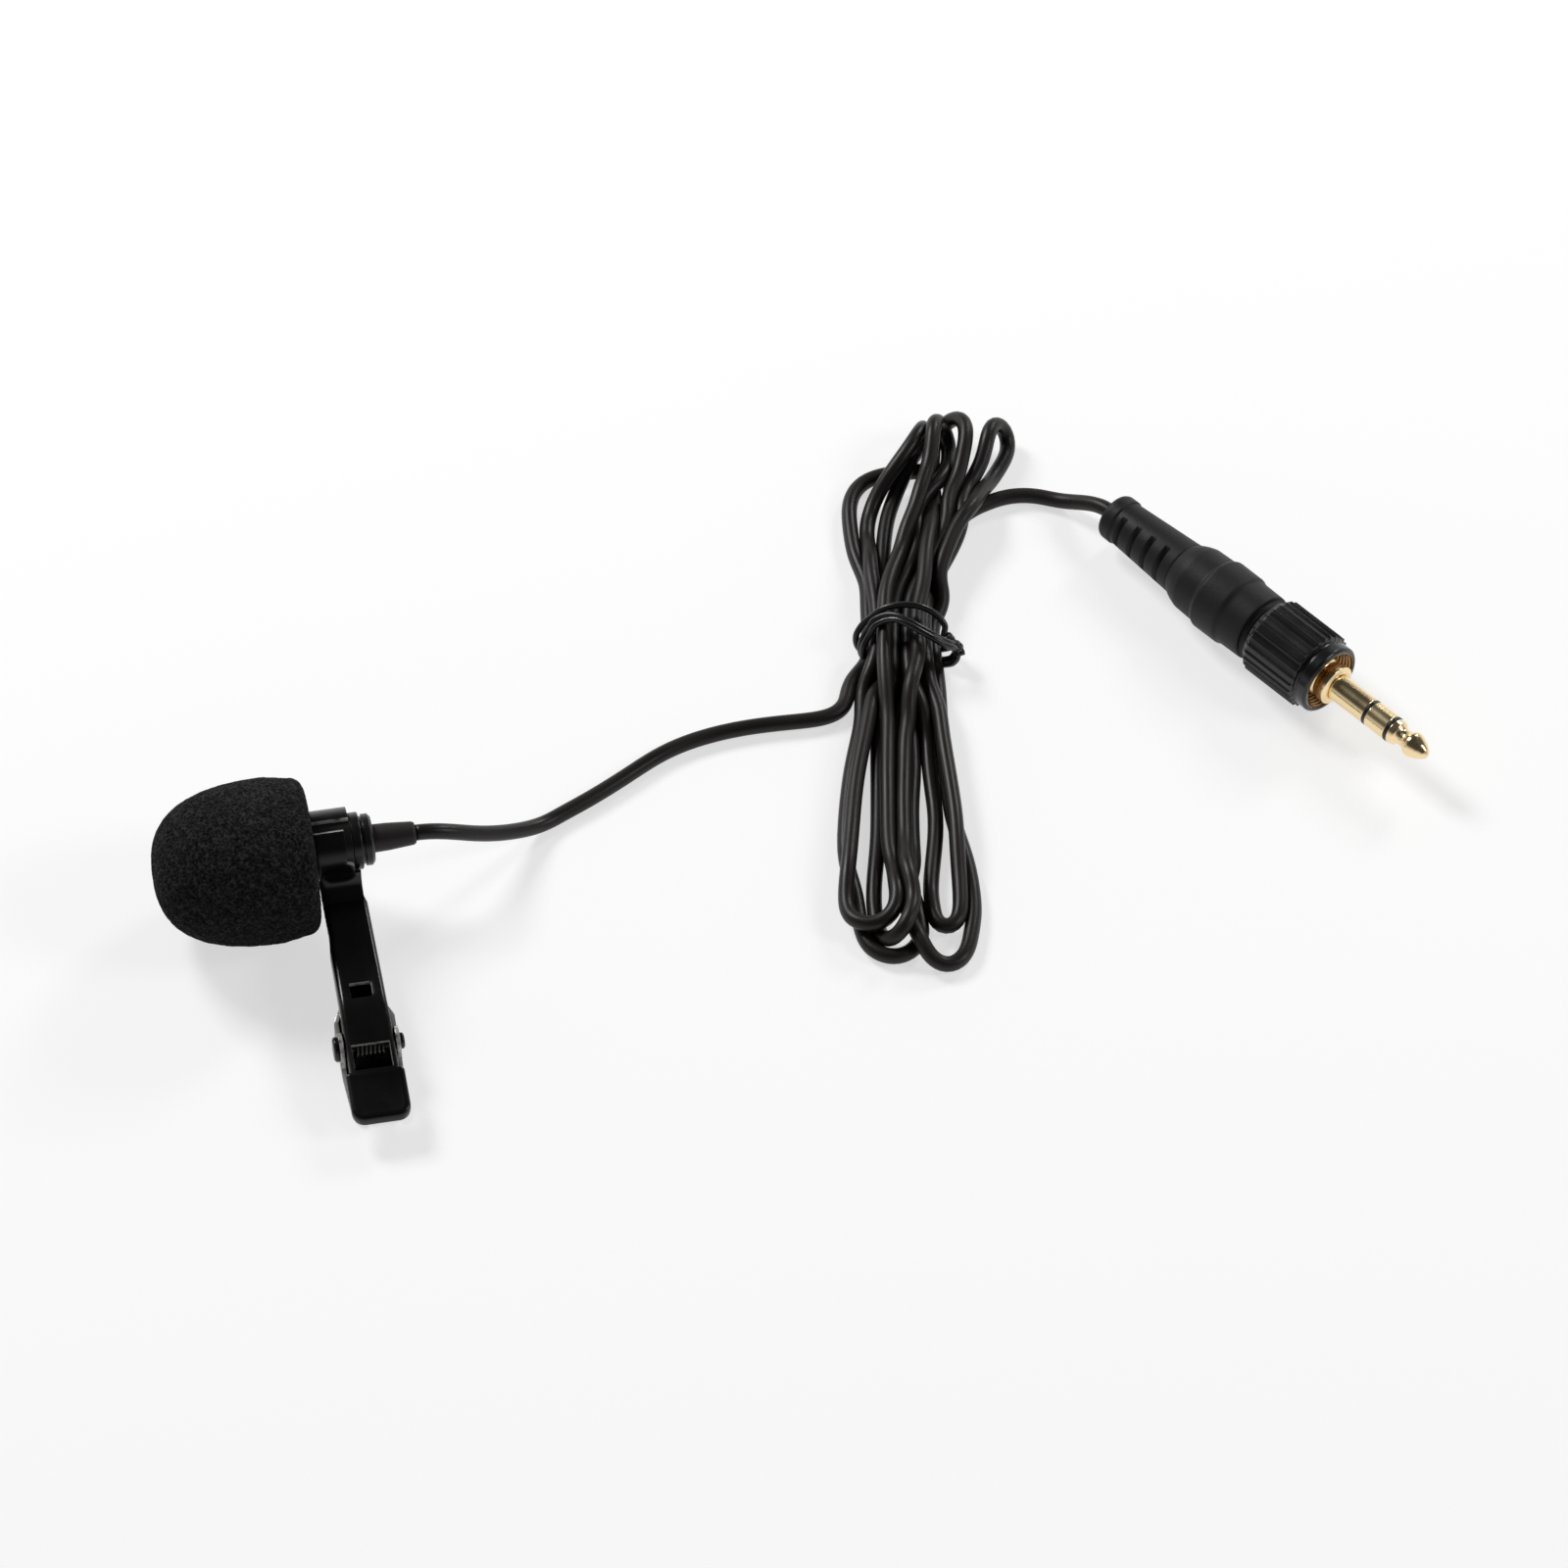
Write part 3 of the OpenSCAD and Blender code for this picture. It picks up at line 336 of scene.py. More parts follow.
def twisted_end(phase, length):
    """Half of the twisted pair: a helix of just under two turns about the twist's axis, one wire
    radius out."""
    t = np.linspace(0, 1, 24)[:, None]
    a = phase + t * 3.5 * math.pi
    return (twist_start + twist_axis * t * length
            + tie_radius * 1.05 * (twist_side * np.cos(a) + twist_over * np.sin(a)))


under = tie_radius + 0.02
first_turn = [(87.6, 39.7, 4.7), (86.7, 40.8, 5.7), (85.2, 41.6, 6.5), (83.5, 42.1, 6.8), (82, 42.4, 6.7),
              (80.3, 42.6, 6.2), (78.9, 42.5, 5.2), (77.4, 42.1, 4.0), (76.6, 41.5, 2.8), (76.8, 40.8, 1.3),
              (78.4, 40.3, under), (82.3, 40, under), (86.6, 39.4, under), (88.2, 38.8, 1.3),
              (88.6, 38.2, 2.5)]
second_turn = [(88.1, 37.4, 3.8), (87, 37, 5.0), (85.8, 37.4, 5.9), (84.3, 38.3, 6.6), (82.8, 39.5, 6.9),
               (81.3, 40.9, 6.7), (80, 41.5, 6.1), (78.7, 41.5, 5.3), (77.9, 41, 4.2), (77, 40.2, 3.0),
               (77, 39.4, 1.4), (78.5, 38.9, under), (82.4, 38.5, under), (86.6, 37.7, under),
               (88.1, 37.1, 1.4), (88.5, 37.1, 2.4)]
third_turn = np.array(second_turn) + (0.1, -0.85, 0.05)
wire = np.vstack([twisted_end(0, 2.4)[::-1], first_turn, second_turn, third_turn, twisted_end(math.pi, 2.9)])
wire = curve_through(wire, 0.22)
wire[:, 2] = np.maximum(wire[:, 2], tie_radius)
tie = made("twist_tie_wire", [tube(wire, tie_radius, 12)], tie_coat)
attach(tie, "microphone")
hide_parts("twist_tie")

# ---- Windscreen ----
# Bullet-shaped cover cut from black open-cell foam, with a round pocket that stretches over the
# microphone. Its skin is a field of small torn cells, and its back rim is softly rounded.
microphone = np.array([5.875, 14.225, 10.25])
foam_radius, foam_back, foam_length, foam_straight, foam_offset = 10.25, 2.55, 19.6, 4.6, 1.2
foam_rim, rim_taper, nose_power = 1.8, 0.95, 0.77
pocket_radius, pocket_depth, mouth_edge = 3.75, 13.2, 0.4
small_cell, large_cell, small_pit, large_pit, deepest_pit = 0.5, 1.3, 0.14, 0.07, 0.16


def windscreen_profile():
    """Rows of (along the axis, radius, sideways shift, on the skin): a superellipse nose, a slight
    taper to the rim's arc, the flat back face, and the pocket."""
    a = np.radians(np.linspace(90, 0, 160))
    nose_length = foam_length - foam_straight
    nose = np.stack([-foam_back - foam_straight - nose_length * np.sin(a) ** nose_power,
                     foam_radius * np.cos(a) ** nose_power], 1)
    b = np.radians(np.linspace(90, 0, 14))
    rim = np.stack([-foam_back - foam_rim + foam_rim * np.cos(b),
                    foam_radius * rim_taper - foam_rim + foam_rim * np.sin(b)], 1)
    c = np.radians(np.linspace(0, 90, 6))
    mouth = np.stack([-foam_back - mouth_edge + mouth_edge * np.cos(c),
                      pocket_radius + mouth_edge - mouth_edge * np.sin(c)], 1)
    pocket_end = -foam_back - pocket_depth
    outline = np.vstack([nose, rim, mouth, [[pocket_end, pocket_radius], [pocket_end, 0.001]]])
    along = np.r_[0, np.cumsum(np.linalg.norm(np.diff(outline, axis=0), axis=1))]
    face_start, face_end = along[len(nose) + len(rim) - 1], along[len(nose) + len(rim)]
    pocket_start = along[-3]
    wanted = np.r_[np.linspace(0, pocket_start, 228), np.linspace(pocket_start, along[-1], 12)[1:]]
    u, r = np.interp(wanted, along, outline[:, 0]), np.interp(wanted, along, outline[:, 1])
    shift = foam_offset * np.clip((face_end - wanted) / (face_end - face_start), 0, 1)
    return u, r, shift, wanted < pocket_start


def cells(points, size, seed):
    """Distance from each point to the nearest of a set of scattered centres, one in each cube of a
    grid, in units of the cube's size."""
    grid = points / size
    base = np.floor(grid).astype(np.int64)
    nearest = np.full(len(points), 9.0)
    for corner in np.ndindex(3, 3, 3):
        cube = base + np.array(corner) - 1
        key = (cube[:, 0] * 73856093 ^ cube[:, 1] * 19349663 ^ cube[:, 2] * 83492791) + seed
        centre = cube + np.stack([((key * k) % 1009) / 1009 for k in (7919, 104729, 1299709)], 1)
        nearest = np.minimum(nearest, np.linalg.norm(grid - centre, axis=1))
    return nearest


u, r, shift, skin = windscreen_profile()
turn = np.linspace(0, 2 * math.pi, 380, endpoint=False)
wide = np.ones((1, len(turn)))
foam_points = np.stack([u[:, None] * wide, -shift[:, None] + r[:, None] * np.cos(turn),
                        r[:, None] * np.sin(turn)], -1).reshape(-1, 3)
out = np.stack([-np.gradient(r), np.gradient(u)], 1)
out *= np.sign(out[60, 1]) / (np.linalg.norm(out, axis=1)[:, None] + 1e-9)
normal = np.stack([out[:, :1] * wide, out[:, 1:] * np.cos(turn), out[:, 1:] * np.sin(turn)], -1)
normal = normal.reshape(-1, 3)
small = np.clip(1.2 - 1.9 * cells(foam_points, small_cell, 5), 0, 1)
large = np.clip(1.1 - 1.6 * cells(foam_points, large_cell, 11), 0, 1)
pit = (small_pit * small + large_pit * large) * np.repeat(skin, len(turn))
foam_points = foam_points - normal * pit[:, None] + microphone

foam_black, tree, shader = finish_of("foam_black", (0.02, 0.02, 0.021), 0.95, specular=0.1)
place = node(tree, "ShaderNodeTexCoord").outputs["Object"]
web = node(tree, "ShaderNodeTexVoronoi", {"Vector": place}, Scale=3300.0, Randomness=1.0)
dust = node(tree, "ShaderNodeTexNoise", {"Vector": place}, Scale=1900.0, Detail=5.0)
pit_shade = node(tree, "ShaderNodeAttribute", attribute_name="pit")
tone = combined(tree, "MULTIPLY", web.outputs["Distance"], dust.outputs[0])
tone = node(tree, "ShaderNodeMapRange", {"Value": tone}, From_Min=0.08, From_Max=0.42)
skin_colour = blended(tree, tone.outputs[0], (0.006, 0.006, 0.0065), (0.046, 0.046, 0.048))
# The pits are darkened towards near black by their depth: painted shade in the foam's pores.
colour = blended(tree, pit_shade.outputs["Fac"], skin_colour, (0.004, 0.004, 0.0045))
tree.links.new(colour, shader.inputs["Base Color"])
bump = node(tree, "ShaderNodeBump", {"Height": tone.outputs[0]}, Strength=0.9, Distance=1.2e-4)
tree.links.new(bump.outputs[0], shader.inputs["Normal"])
foam = made("foam_windscreen", [(foam_points, grid_faces(len(u), len(turn), round_columns=True),
                                 {"pit": pit / deepest_pit})], foam_black)
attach(foam, "windscreen")
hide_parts("windscreen")

# ---- Microphone barrel, rear cap and strain relief ----
# Thin turned tube, anodised satin black, closed at the front by a steel grille and at the back by a
# turned two-step cap. A short tapered rubber sleeve, moulded on the cord, is pinched in the cap.


def rounded(profile, radius):
    """The profile with each inner corner turned into a small arc, and a point on either side of it
    that keeps the flats flat."""
    p = np.asarray(profile, float)
    found = [p[0]]
    for before, corner, after in zip(p[:-2], p[1:-1], p[2:]):
        a, b = before - corner, after - corner
        la, lb = np.linalg.norm(a), np.linalg.norm(b)
        a, b = a / la, b / lb
        cut = min(radius, 0.4 * la, 0.4 * lb)
        t = np.linspace(0, 1, 5)[:, None]
        arc = (1 - t) ** 2 * (corner + a * cut) + 2 * t * (1 - t) * corner + t**2 * (corner + b * cut)
        found += [corner + a * min(cut * 1.25, la * 0.48), *arc, corner + b * min(cut * 1.25, lb * 0.48)]
    found.append(p[-1])
    return np.array(found)


def carried_round(axes, along, radius, turn):
    """Points of a form on an axis, at (rows, turns): so far along the axis from its start, and at
    that radius from it. axes are the start, the axis's direction and the direction of turn 0."""
    start, axis, side = axes
    spokes = side * np.cos(turn)[:, None] + np.cross(axis, side) * np.sin(turn)[:, None]
    return start + along[:, None, None] * axis + radius[..., None] * spokes[None]


def turned(name, profile, axes, material, edge, sides=96, closed=False):
    """A solid of revolution: the profile of (along, radius), with softened corners, carried round
    its axis."""
    outline = rounded([*profile, profile[0]] if closed else profile, edge)
    turn = np.linspace(0, 2 * math.pi, sides, endpoint=False)
    points = carried_round(axes, outline[:, 0], outline[:, 1:], turn)
    return made(name, [(points, grid_faces(len(outline), sides, round_columns=True))], material)


mic_axes = (microphone, np.array([1.0, 0, 0]), np.array([0, 1.0, 0]))
satin_black = grained("black_metal", 160, (0.004, 0.004, 0.004), (0.009, 0.0088, 0.0085), (0.22, 0.36),
                      4200, 5e-6, specular=0.35, stretch=(3, 1, 1))
barrel = turned("microphone_barrel", [
    (-14.13, 3.2), (-14.13, 3.7), (-13.2, 3.7), (-13.1, 3.62), (-12.9, 3.62), (-12.8, 3.7), (2.38, 3.7),
    (2.38, 3.2), (-2.0, 3.2)], mic_axes, satin_black, 0.06, closed=True)
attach(barrel, "microphone")
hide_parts("capsule_barrel")

cap = turned("rear_cap_turned", [
    (2.3, 0.5), (2.4, 3.2), (2.4, 3.42), (2.5, 3.55), (3.5, 3.55), (3.62, 3.42), (3.62, 2.95), (3.97, 2.95),
    (3.97, 3.2), (4.75, 3.2), (5.1, 2.8), (5.1, 1.3), (4.2, 0.5)],
    mic_axes, satin_black, 0.07, closed=True)
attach(cap, "microphone")
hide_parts("rear_cap")

relief_rubber = grained("relief_rubber", 150, (0.014, 0.0112, 0.011), (0.024, 0.0196, 0.019),
                        (0.42, 0.58), 2400, 1.5e-5, specular=0.3)
relief = turned("strain_relief_sleeve", [
    (4.9, 0), (4.9, 1.74), (5.35, 1.75), (7.0, 1.7), (10.1, 1.45), (10.4, 1.25), (10.4, 0.98), (10.35, 0)],
    mic_axes, relief_rubber, 0.12)
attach(relief, "microphone")
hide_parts("strain_relief")

# ---- Parts inside the microphone ----
# Punched steel grille, rubber gasket, drawn aluminium capsule can and its small round board. They
# are pressed in from the front, and show only once the windscreen is off.


def dress(name, material):
    """Gives a CAD node its finish."""
    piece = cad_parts[name]
    piece.data.materials.clear()
    piece.data.materials.append(material)


def plain_finish(name, colour, light, roughness, metallic, cloud, relief, stretch=(1, 1, 1)):
    """A grained finish between two colours, at one roughness give or take a little."""
    gloss = roughness - 0.06, roughness + 0.08
    return grained(name, cloud, colour, light, gloss, cloud * 12, relief, metallic, stretch=stretch)


steel = plain_finish("grille_steel", (0.4, 0.4, 0.41), (0.5, 0.5, 0.5), 0.34, 1.0, 300, 4e-6)
aluminium = plain_finish("capsule_can", (0.62, 0.62, 0.64), (0.72, 0.72, 0.73), 0.3, 1.0, 260, 4e-6,
                         stretch=(6, 1, 1))
board_green = plain_finish("board", (0.015, 0.09, 0.04), (0.02, 0.13, 0.06), 0.4, 0.0, 400, 5e-6)
dress("front_grille", steel)
dress("capsule_gasket", relief_rubber)
dress("electret_capsule", aluminium)
dress("capsule_board", board_green)

# ---- Clip arm ----
# One blank of 0.6 mm spring steel, pierced and toothed, folded to a channel, rolled into a ring at
# # one end and pressed into a thumb pad at the other. Black lacquer. Its cut edges are painted a light,
# partly
# # metallic grey in patches: partly bare steel where the lacquer wore off, partly a painted highlight along
# the edges.
arm_shift = 0.5
hinge_s, hinge_n = 26.5, -6.05
ring_inner, sheet = 3.75, 0.6
ring_outer, ring_half = ring_inner + sheet, 2.25
far_lip, near_lip, lip_curl = 95.3, 430.0, 0.25
arm_slope, bend_s, arm_fall = 0.047, 22.0, 0.2242
lip_cut, lip_start = 0.8, 370
neck_s, neck_n, neck_radius, neck_inset, neck_reach = 6.43, -1.24, 2.2, 0.2, 0.8
window, notch, arm_fold, ear_radius = (19.3, 21.6, 1.3), (27.7, 31.0), 0.65, 1.5


def clip_point(s, u, n):
    """From the clip's measures to the table's: s from the microphone's axis towards the pad, u along
    that axis from the clip's middle, n upwards from it."""
    s, u, n = np.broadcast_arrays(s, u, n)
    return np.stack([microphone[0] + arm_shift + u, microphone[1] - s, microphone[2] + n], -1)


def arm_height(s):
    """Top of the plate: a slight rise from the ring, then a straight fall to the pad, with the bend
    between them rounded over 2 mm."""
    low = -ring_inner + arm_slope * s
    high = -ring_inner + arm_slope * bend_s - arm_fall * (s - bend_s)
    return low - 0.5 * (low - high + np.sqrt((low - high) ** 2 + 0.12)) + 0.02


def channel_sheet(s, left, right, top, edge, fold, inner):
    """A folded channel as a grid. Each row runs up one flange, round a fold, across the plate and
    down the other flange. left, right, top and edge are the sides, the plate's height and the
    flanges' free edge at each s; inner are the places of fixed columns on the plate."""
    rise = np.sign(top - edge) * fold
    down = np.linspace(1, 0, 7)
    turn = np.radians(np.linspace(15, 90, 6))
    rows = [(left, top - rise + (edge - top + rise) * q) for q in down]
    rows += [(left + fold * (1 - math.cos(t)), top - rise * (1 - math.sin(t))) for t in turn]
    rows += [((left + fold + inner[0]) / 2, top)]
    rows += [(u, top) for u in inner]
    rows += [((right - fold + inner[-1]) / 2, top)]
    rows += [(right - fold * (1 - math.cos(t)), top - rise * (1 - math.sin(t))) for t in turn[::-1]]
    rows += [(right, top - rise + (edge - top + rise) * q) for q in down[::-1]]
    u = np.stack([np.broadcast_to(row[0], s.shape) for row in rows], 1)
    n = np.stack([np.broadcast_to(row[1], s.shape) for row in rows], 1)
    return clip_point(s[:, None], u, n), u


def toothed(s, start, end, pitch, depth):
    """A saw edge between two places: 0 at the tips, depth in the roots."""
    wave = 1 - np.abs(((s - start) / pitch) % 1 * 2 - 1)
    return np.where((s > start) & (s < end), depth * wave, 0)


def thick_sheet(points, faces, thickness):
    """A folded skin with its sheet thickness: a second skin one thickness in against each point's
    normal (the mean of its faces' normals), and walls along the open edges. The walls are the
    blank's cut edges. They are marked for a light grey that is partly lacquer worn thin and partly
    a painted highlight along the edges."""
    used, faces = np.unique(faces, return_inverse=True)
    skin, faces = points.reshape(-1, 3)[used], faces.reshape(-1, 4)
    across = np.cross(skin[faces[:, 2]] - skin[faces[:, 0]], skin[faces[:, 3]] - skin[faces[:, 1]])
    across /= np.linalg.norm(across, axis=1)[:, None] + 1e-12
    normal = np.zeros_like(skin)
    np.add.at(normal, faces.ravel(), np.repeat(across, 4, axis=0))
    normal /= np.linalg.norm(normal, axis=1)[:, None]
    edges = np.stack([faces, np.roll(faces, -1, axis=1)], -1).reshape(-1, 2)
    _, first, times = np.unique(np.sort(edges, axis=1), axis=0, return_index=True, return_counts=True)
    open_edges = edges[first[times == 1]]
    walls = np.hstack([open_edges[:, ::-1], open_edges + len(skin)])
    bare = np.r_[np.zeros(2 * len(faces)), np.ones(len(walls))]
    return (np.vstack([skin, skin - thickness * normal]),
            np.vstack([faces, faces[:, ::-1] + len(skin), walls]), {"bare": bare})


def prism(upper, lower, u0, u1):
    """A closed bar across the clip between two lines of (s, n): four rails, joined round, with a
    four-sided face at each end."""
    rails = [(upper, u0), (upper, u1), (lower, u1), (lower, u0)]
    points = np.stack([clip_point(line[:, 0], u, line[:, 1]) for line, u in rails])
    count = len(upper)
    ends = [[0, count, 2 * count, 3 * count], [4 * count - 1, 3 * count - 1, 2 * count - 1, count - 1]]
    return points, np.vstack([grid_faces(4, count, round_rows=True), ends])


arm_s = np.unique(np.round(np.r_[
    4.5, 4.75, np.arange(5, 11.1, 0.3), np.arange(11.3, 19.2, 0.4), window[0], 19.7, 20.2, 20.7, 21.15,
    window[1], np.arange(21.8, 27.6, 0.2), notch[0], np.arange(27.9, 30.9, 0.25), notch[1], 31.3, 31.7,
    32.2], 3))
arm_left = np.interp(arm_s, [11.24, 13.64, 22, 24.5], [-2.55, -2.8, -2.9, -3])
arm_right = np.interp(arm_s, [4.5, 6.5, 22, 24.5], [2.4, 2.9, 2.9, 3])
arm_top = arm_height(arm_s)
arm_edge = arm_top - np.interp(
    arm_s, [4.5, 6.5, 11.24, 13.64, 22, 24.5, 32.2], [1.0, 1.3, 1.9, 2.1, 2.5, 2.6, 1.8])
arm_edge += toothed(arm_s, 5, 11, 1.2, 0.6)
ear = hinge_n - np.sqrt(np.clip(ear_radius**2 - (arm_s - hinge_s) ** 2, 0, None))
arm_edge = np.where(np.abs(arm_s - hinge_s) < ear_radius, np.minimum(ear, arm_edge), arm_edge)
arm_grid, arm_u = channel_sheet(arm_s, arm_left, arm_right, arm_top, arm_edge, arm_fold,
                                (-window[2], -0.65, 0, 0.65, window[2]))
middle_s = ((arm_s[:-1] + arm_s[1:]) / 2)[:, None]
middle_u = np.abs(arm_u[:-1, :-1] + arm_u[1:, 1:]) / 2
in_window = (middle_s > window[0]) & (middle_s < window[1]) & (middle_u < window[2])
in_notch = (middle_s > notch[0]) & (middle_s < notch[1]) & (middle_u < 3 - arm_fold)
arm_faces = grid_faces(*arm_grid.shape[:2], keep=~(in_window | in_notch))

ring_angle = np.r_[far_lip, np.linspace(98, 427, 101), near_lip][:, None]
ring_a = np.radians(ring_angle)
ring_u = np.linspace(-ring_half, ring_half, 9)[None]
ring_u = ring_u - lip_cut * np.clip((ring_angle - lip_start) / 4, 0, 1) * np.clip(ring_u / ring_half, 0, 1)
ring_radius = ring_outer + lip_curl * np.clip((ring_angle - near_lip + 8) / 8, 0, 1) ** 2
ring_grid = clip_point(ring_radius * np.cos(ring_a), ring_u - arm_shift, ring_radius * np.sin(ring_a))

touch = math.atan2(-neck_n, neck_s)
hollow = np.linspace(1.5 * math.pi, math.pi - touch, 15)
hollow_line = np.stack([neck_s + neck_radius * np.cos(hollow), neck_n + neck_radius * np.sin(hollow)], 1)
under_ring = np.radians(np.linspace(-80, -math.degrees(touch) + 2, 10))
neck_under = np.vstack([[[neck_s, neck_n - neck_radius - 0.3], [4.8, -3.88], [3.2, -4.02], [1.8, -4.16]],
                        np.stack([4.0 * np.cos(under_ring), 4.0 * np.sin(under_ring)], 1), [[4.1, -0.75]]])
neck = prism(hollow_line, neck_under, neck_inset - ring_half - arm_shift, neck_reach + ring_half - arm_shift)

pad_half, pad_start, pad_end, pad_corner, pad_slope, pad_edge = 3.6, 31.0, 37.5, 1.6, 0.178, 0.45


def pad_outline(inset):
    """The thumb pad's plan: a rectangle with large round corners at its free end and small ones at
    its root, drawn in by inset."""
    w, r, q = pad_half - inset, max(pad_corner - inset, 0.2), max(0.6 - inset, 0.15)
    a = np.radians(np.linspace(0, 90, 14))
    end = np.stack([pad_end - inset - r + r * np.sin(a), w - r + r * np.cos(a)], 1)
    root = np.stack([pad_start + inset + q - q * np.cos(a), w - q + q * np.sin(a)], 1)
    half = np.vstack([root, end])
    return np.vstack([half, half[::-1] * (1, -1)])


def pad_ring(inset, drop, hang=0):
    """The outline at a depth below the pad's sloping top; hang is how much deeper its front is."""
    plan = pad_outline(inset)
    n = arm_height(pad_start) - (plan[:, 0] - pad_start) * pad_slope
    n -= hang * np.clip((plan[:, 0] - pad_end + 2.5) / 2, 0, 1)
    return clip_point(plan[:, 0], plan[:, 1], n - drop)


pad_rings = [pad_ring(*place) for place in ((2.6, 0.07), (1.6, 0.06), (1.1, 0.05), (0.9, 0.03), (0.7, 0))]
pad_rings += [pad_ring(pad_edge * (1 - math.sin(t)), pad_edge * (1 - math.cos(t)))
              for t in np.radians(np.linspace(0, 90, 6))]
pad_rings += [pad_ring(*place) for place in (
    (0, 0.75, 0.45), (0.05, 0.8, 0.45), (0.5, 0.8, 0.45), (0.55, 0.75, 0.45), (0.6, 0.65), (0.8, 0.6),
    (2.6, 0.66))]
pad_grid = np.stack(pad_rings)
ends = [np.where([True, False, False], microphone[0] + arm_shift, pad_grid[k]) for k in (0, -1)]
pad_grid = np.concatenate([[ends[0]], pad_grid, [ends[1]]])


def opened(material):
    """A grained material's node tree, its shader, and the output that its colour comes from."""
    shader = material.node_tree.nodes["Principled BSDF"]
    return material.node_tree, shader, shader.inputs["Base Color"].links[0].from_socket


lacquer = grained("clip_lacquer", 180, (0.003, 0.0028, 0.0028), (0.007, 0.0062, 0.006), (0.18, 0.3),
                  900, 8e-6, specular=0.3)
tree, shader, colour = opened(lacquer)
# The cut edges get a light, partly metallic grey in patches: partly bare steel where the lacquer wore off,
# partly a painted highlight along the edges.
edge_wear_and_highlight = node(tree, "ShaderNodeAttribute", attribute_name="bare")
place = node(tree, "ShaderNodeTexCoord").outputs["Object"]
edge_patch_noise = node(tree, "ShaderNodeTexNoise", {"Vector": place}, Scale=700.0, Detail=3.0)
wear_and_highlight = node(tree, "ShaderNodeMapRange", {"Value": edge_patch_noise.outputs[0]}, From_Min=0.3, From_Max=0.5)
wear_and_highlight = combined(tree, "MULTIPLY", wear_and_highlight.outputs[0], edge_wear_and_highlight.outputs["Fac"])
tree.links.new(blended(tree, wear_and_highlight, colour, (0.6, 0.585, 0.57)), shader.inputs["Base Color"])
tree.links.new(combined(tree, "MULTIPLY", wear_and_highlight, 0.4), shader.inputs["Metallic"])
arm = made("clip_arm_sheet", [
    thick_sheet(arm_grid, arm_faces[:, ::-1], sheet),
    thick_sheet(ring_grid, grid_faces(*ring_grid.shape[:2]), sheet),
    neck, (pad_grid, grid_faces(*pad_grid.shape[:2], round_columns=True))], lacquer)


def soft_edges(piece, width):
    """Takes the sharpness off the cut edges."""
    soft = piece.modifiers.new("cut_edges", "BEVEL")
    soft.width = width * MM
    soft.segments = 2
    soft.limit_method = "ANGLE"
    soft.angle_limit = math.radians(50)


soft_edges(arm, 0.07)
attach(arm, "clip")
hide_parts("clip_arm")

# ---- Clip jaw ----
# Lower half of the clip: 0.5 mm steel folded to a channel that opens upwards, with teeth along its
# flanges and a toothed lip across its tip. Its ears sit outside the arm's, on the same pin.
jaw_sheet, jaw_fold, jaw_tip, jaw_corner, jaw_ear_radius, lip_half = 0.5, 0.55, 1.2, 1.1, 1.9, 2.05
jaw_s = np.unique(np.round(np.r_[
    np.arange(jaw_tip, 4.4, 0.3), np.arange(4.5, 9.4, 0.3), np.arange(9.6, 22, 0.5), np.arange(22, 32, 0.25),
    np.arange(32, 33.9, 0.4), np.linspace(33.9, 35, 8)], 3))
jaw_places = [1.2, 4.5, 9.24, 13.64, 19.5, 22.5, 29, 33, 35]
jaw_half = np.interp(jaw_s, jaw_places, [2.1, 2.1, 2.1, 2.25, 2.45, 3.7, 3.7, 3.4, 3.2])
jaw_half -= jaw_corner - np.sqrt(np.clip(jaw_corner**2 - np.clip(jaw_s - 33.9, 0, None) ** 2, 0, None))
jaw_floor = np.interp(jaw_s, jaw_places, [-6.4, -7.2, -8.2, -8.8, -9.15, -9.25, -9.55, -10.05, -10.25])
jaw_edge = np.interp(jaw_s, jaw_places, [-5.05, -4.85, -5.3, -5.5, -5.85, -5.95, -7.45, -8.85, -9.35])
jaw_edge -= toothed(jaw_s, 4.5, 9.3, 1.2, 0.6)
jaw_ear = hinge_n + np.sqrt(np.clip(jaw_ear_radius**2 - (jaw_s - hinge_s) ** 2, 0, None))
jaw_edge = np.where(np.abs(jaw_s - hinge_s) < jaw_ear_radius, np.maximum(jaw_ear, jaw_edge), jaw_edge)
jaw_grid, _ = channel_sheet(jaw_s, -jaw_half, jaw_half, jaw_floor, jaw_edge, jaw_fold,
                            (-1.0, -0.5, 0, 0.5, 1.0))
lip_u = np.linspace(-lip_half, lip_half, 25)
lip_top = -5.2 + 0.45 * np.abs((lip_u / (2 * lip_half) * 6) % 2 - 1)
lip_grid = clip_point(jaw_tip, np.stack([lip_u, lip_u]), np.stack([lip_top, np.full(25, -6.3)]))
jaw = made("clip_jaw_sheet", [
    thick_sheet(jaw_grid, grid_faces(*jaw_grid.shape[:2]), jaw_sheet),
    thick_sheet(lip_grid, grid_faces(2, 25), jaw_sheet)], lacquer)
soft_edges(jaw, 0.06)
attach(jaw, "jaw")
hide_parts("clip_jaw")

# ---- Hinge pin ----
# Turned steel pin, blackened, with one large formed head; its other end is peened to a small one.
pin_axes = (clip_point(hinge_s, 0.0, hinge_n), np.array([1.0, 0, 0]), np.array([0, 1.0, 0]))
pin_black = plain_finish("pin_steel", (0.02, 0.02, 0.021), (0.045, 0.045, 0.045), 0.26, 0.8, 300, 6e-6)
pin = turned("hinge_pin_turned", [
    (-4.4, 0), (-4.4, 1.3), (-4.18, 1.55), (-3.75, 1.55), (-3.75, 0.8), (3.75, 0.8), (3.75, 1.0), (4.12, 1.0),
    (4.3, 0.75), (4.3, 0)], pin_axes, pin_black, 0.1, sides=64)
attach(pin, "clip")
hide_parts("hinge_pin")

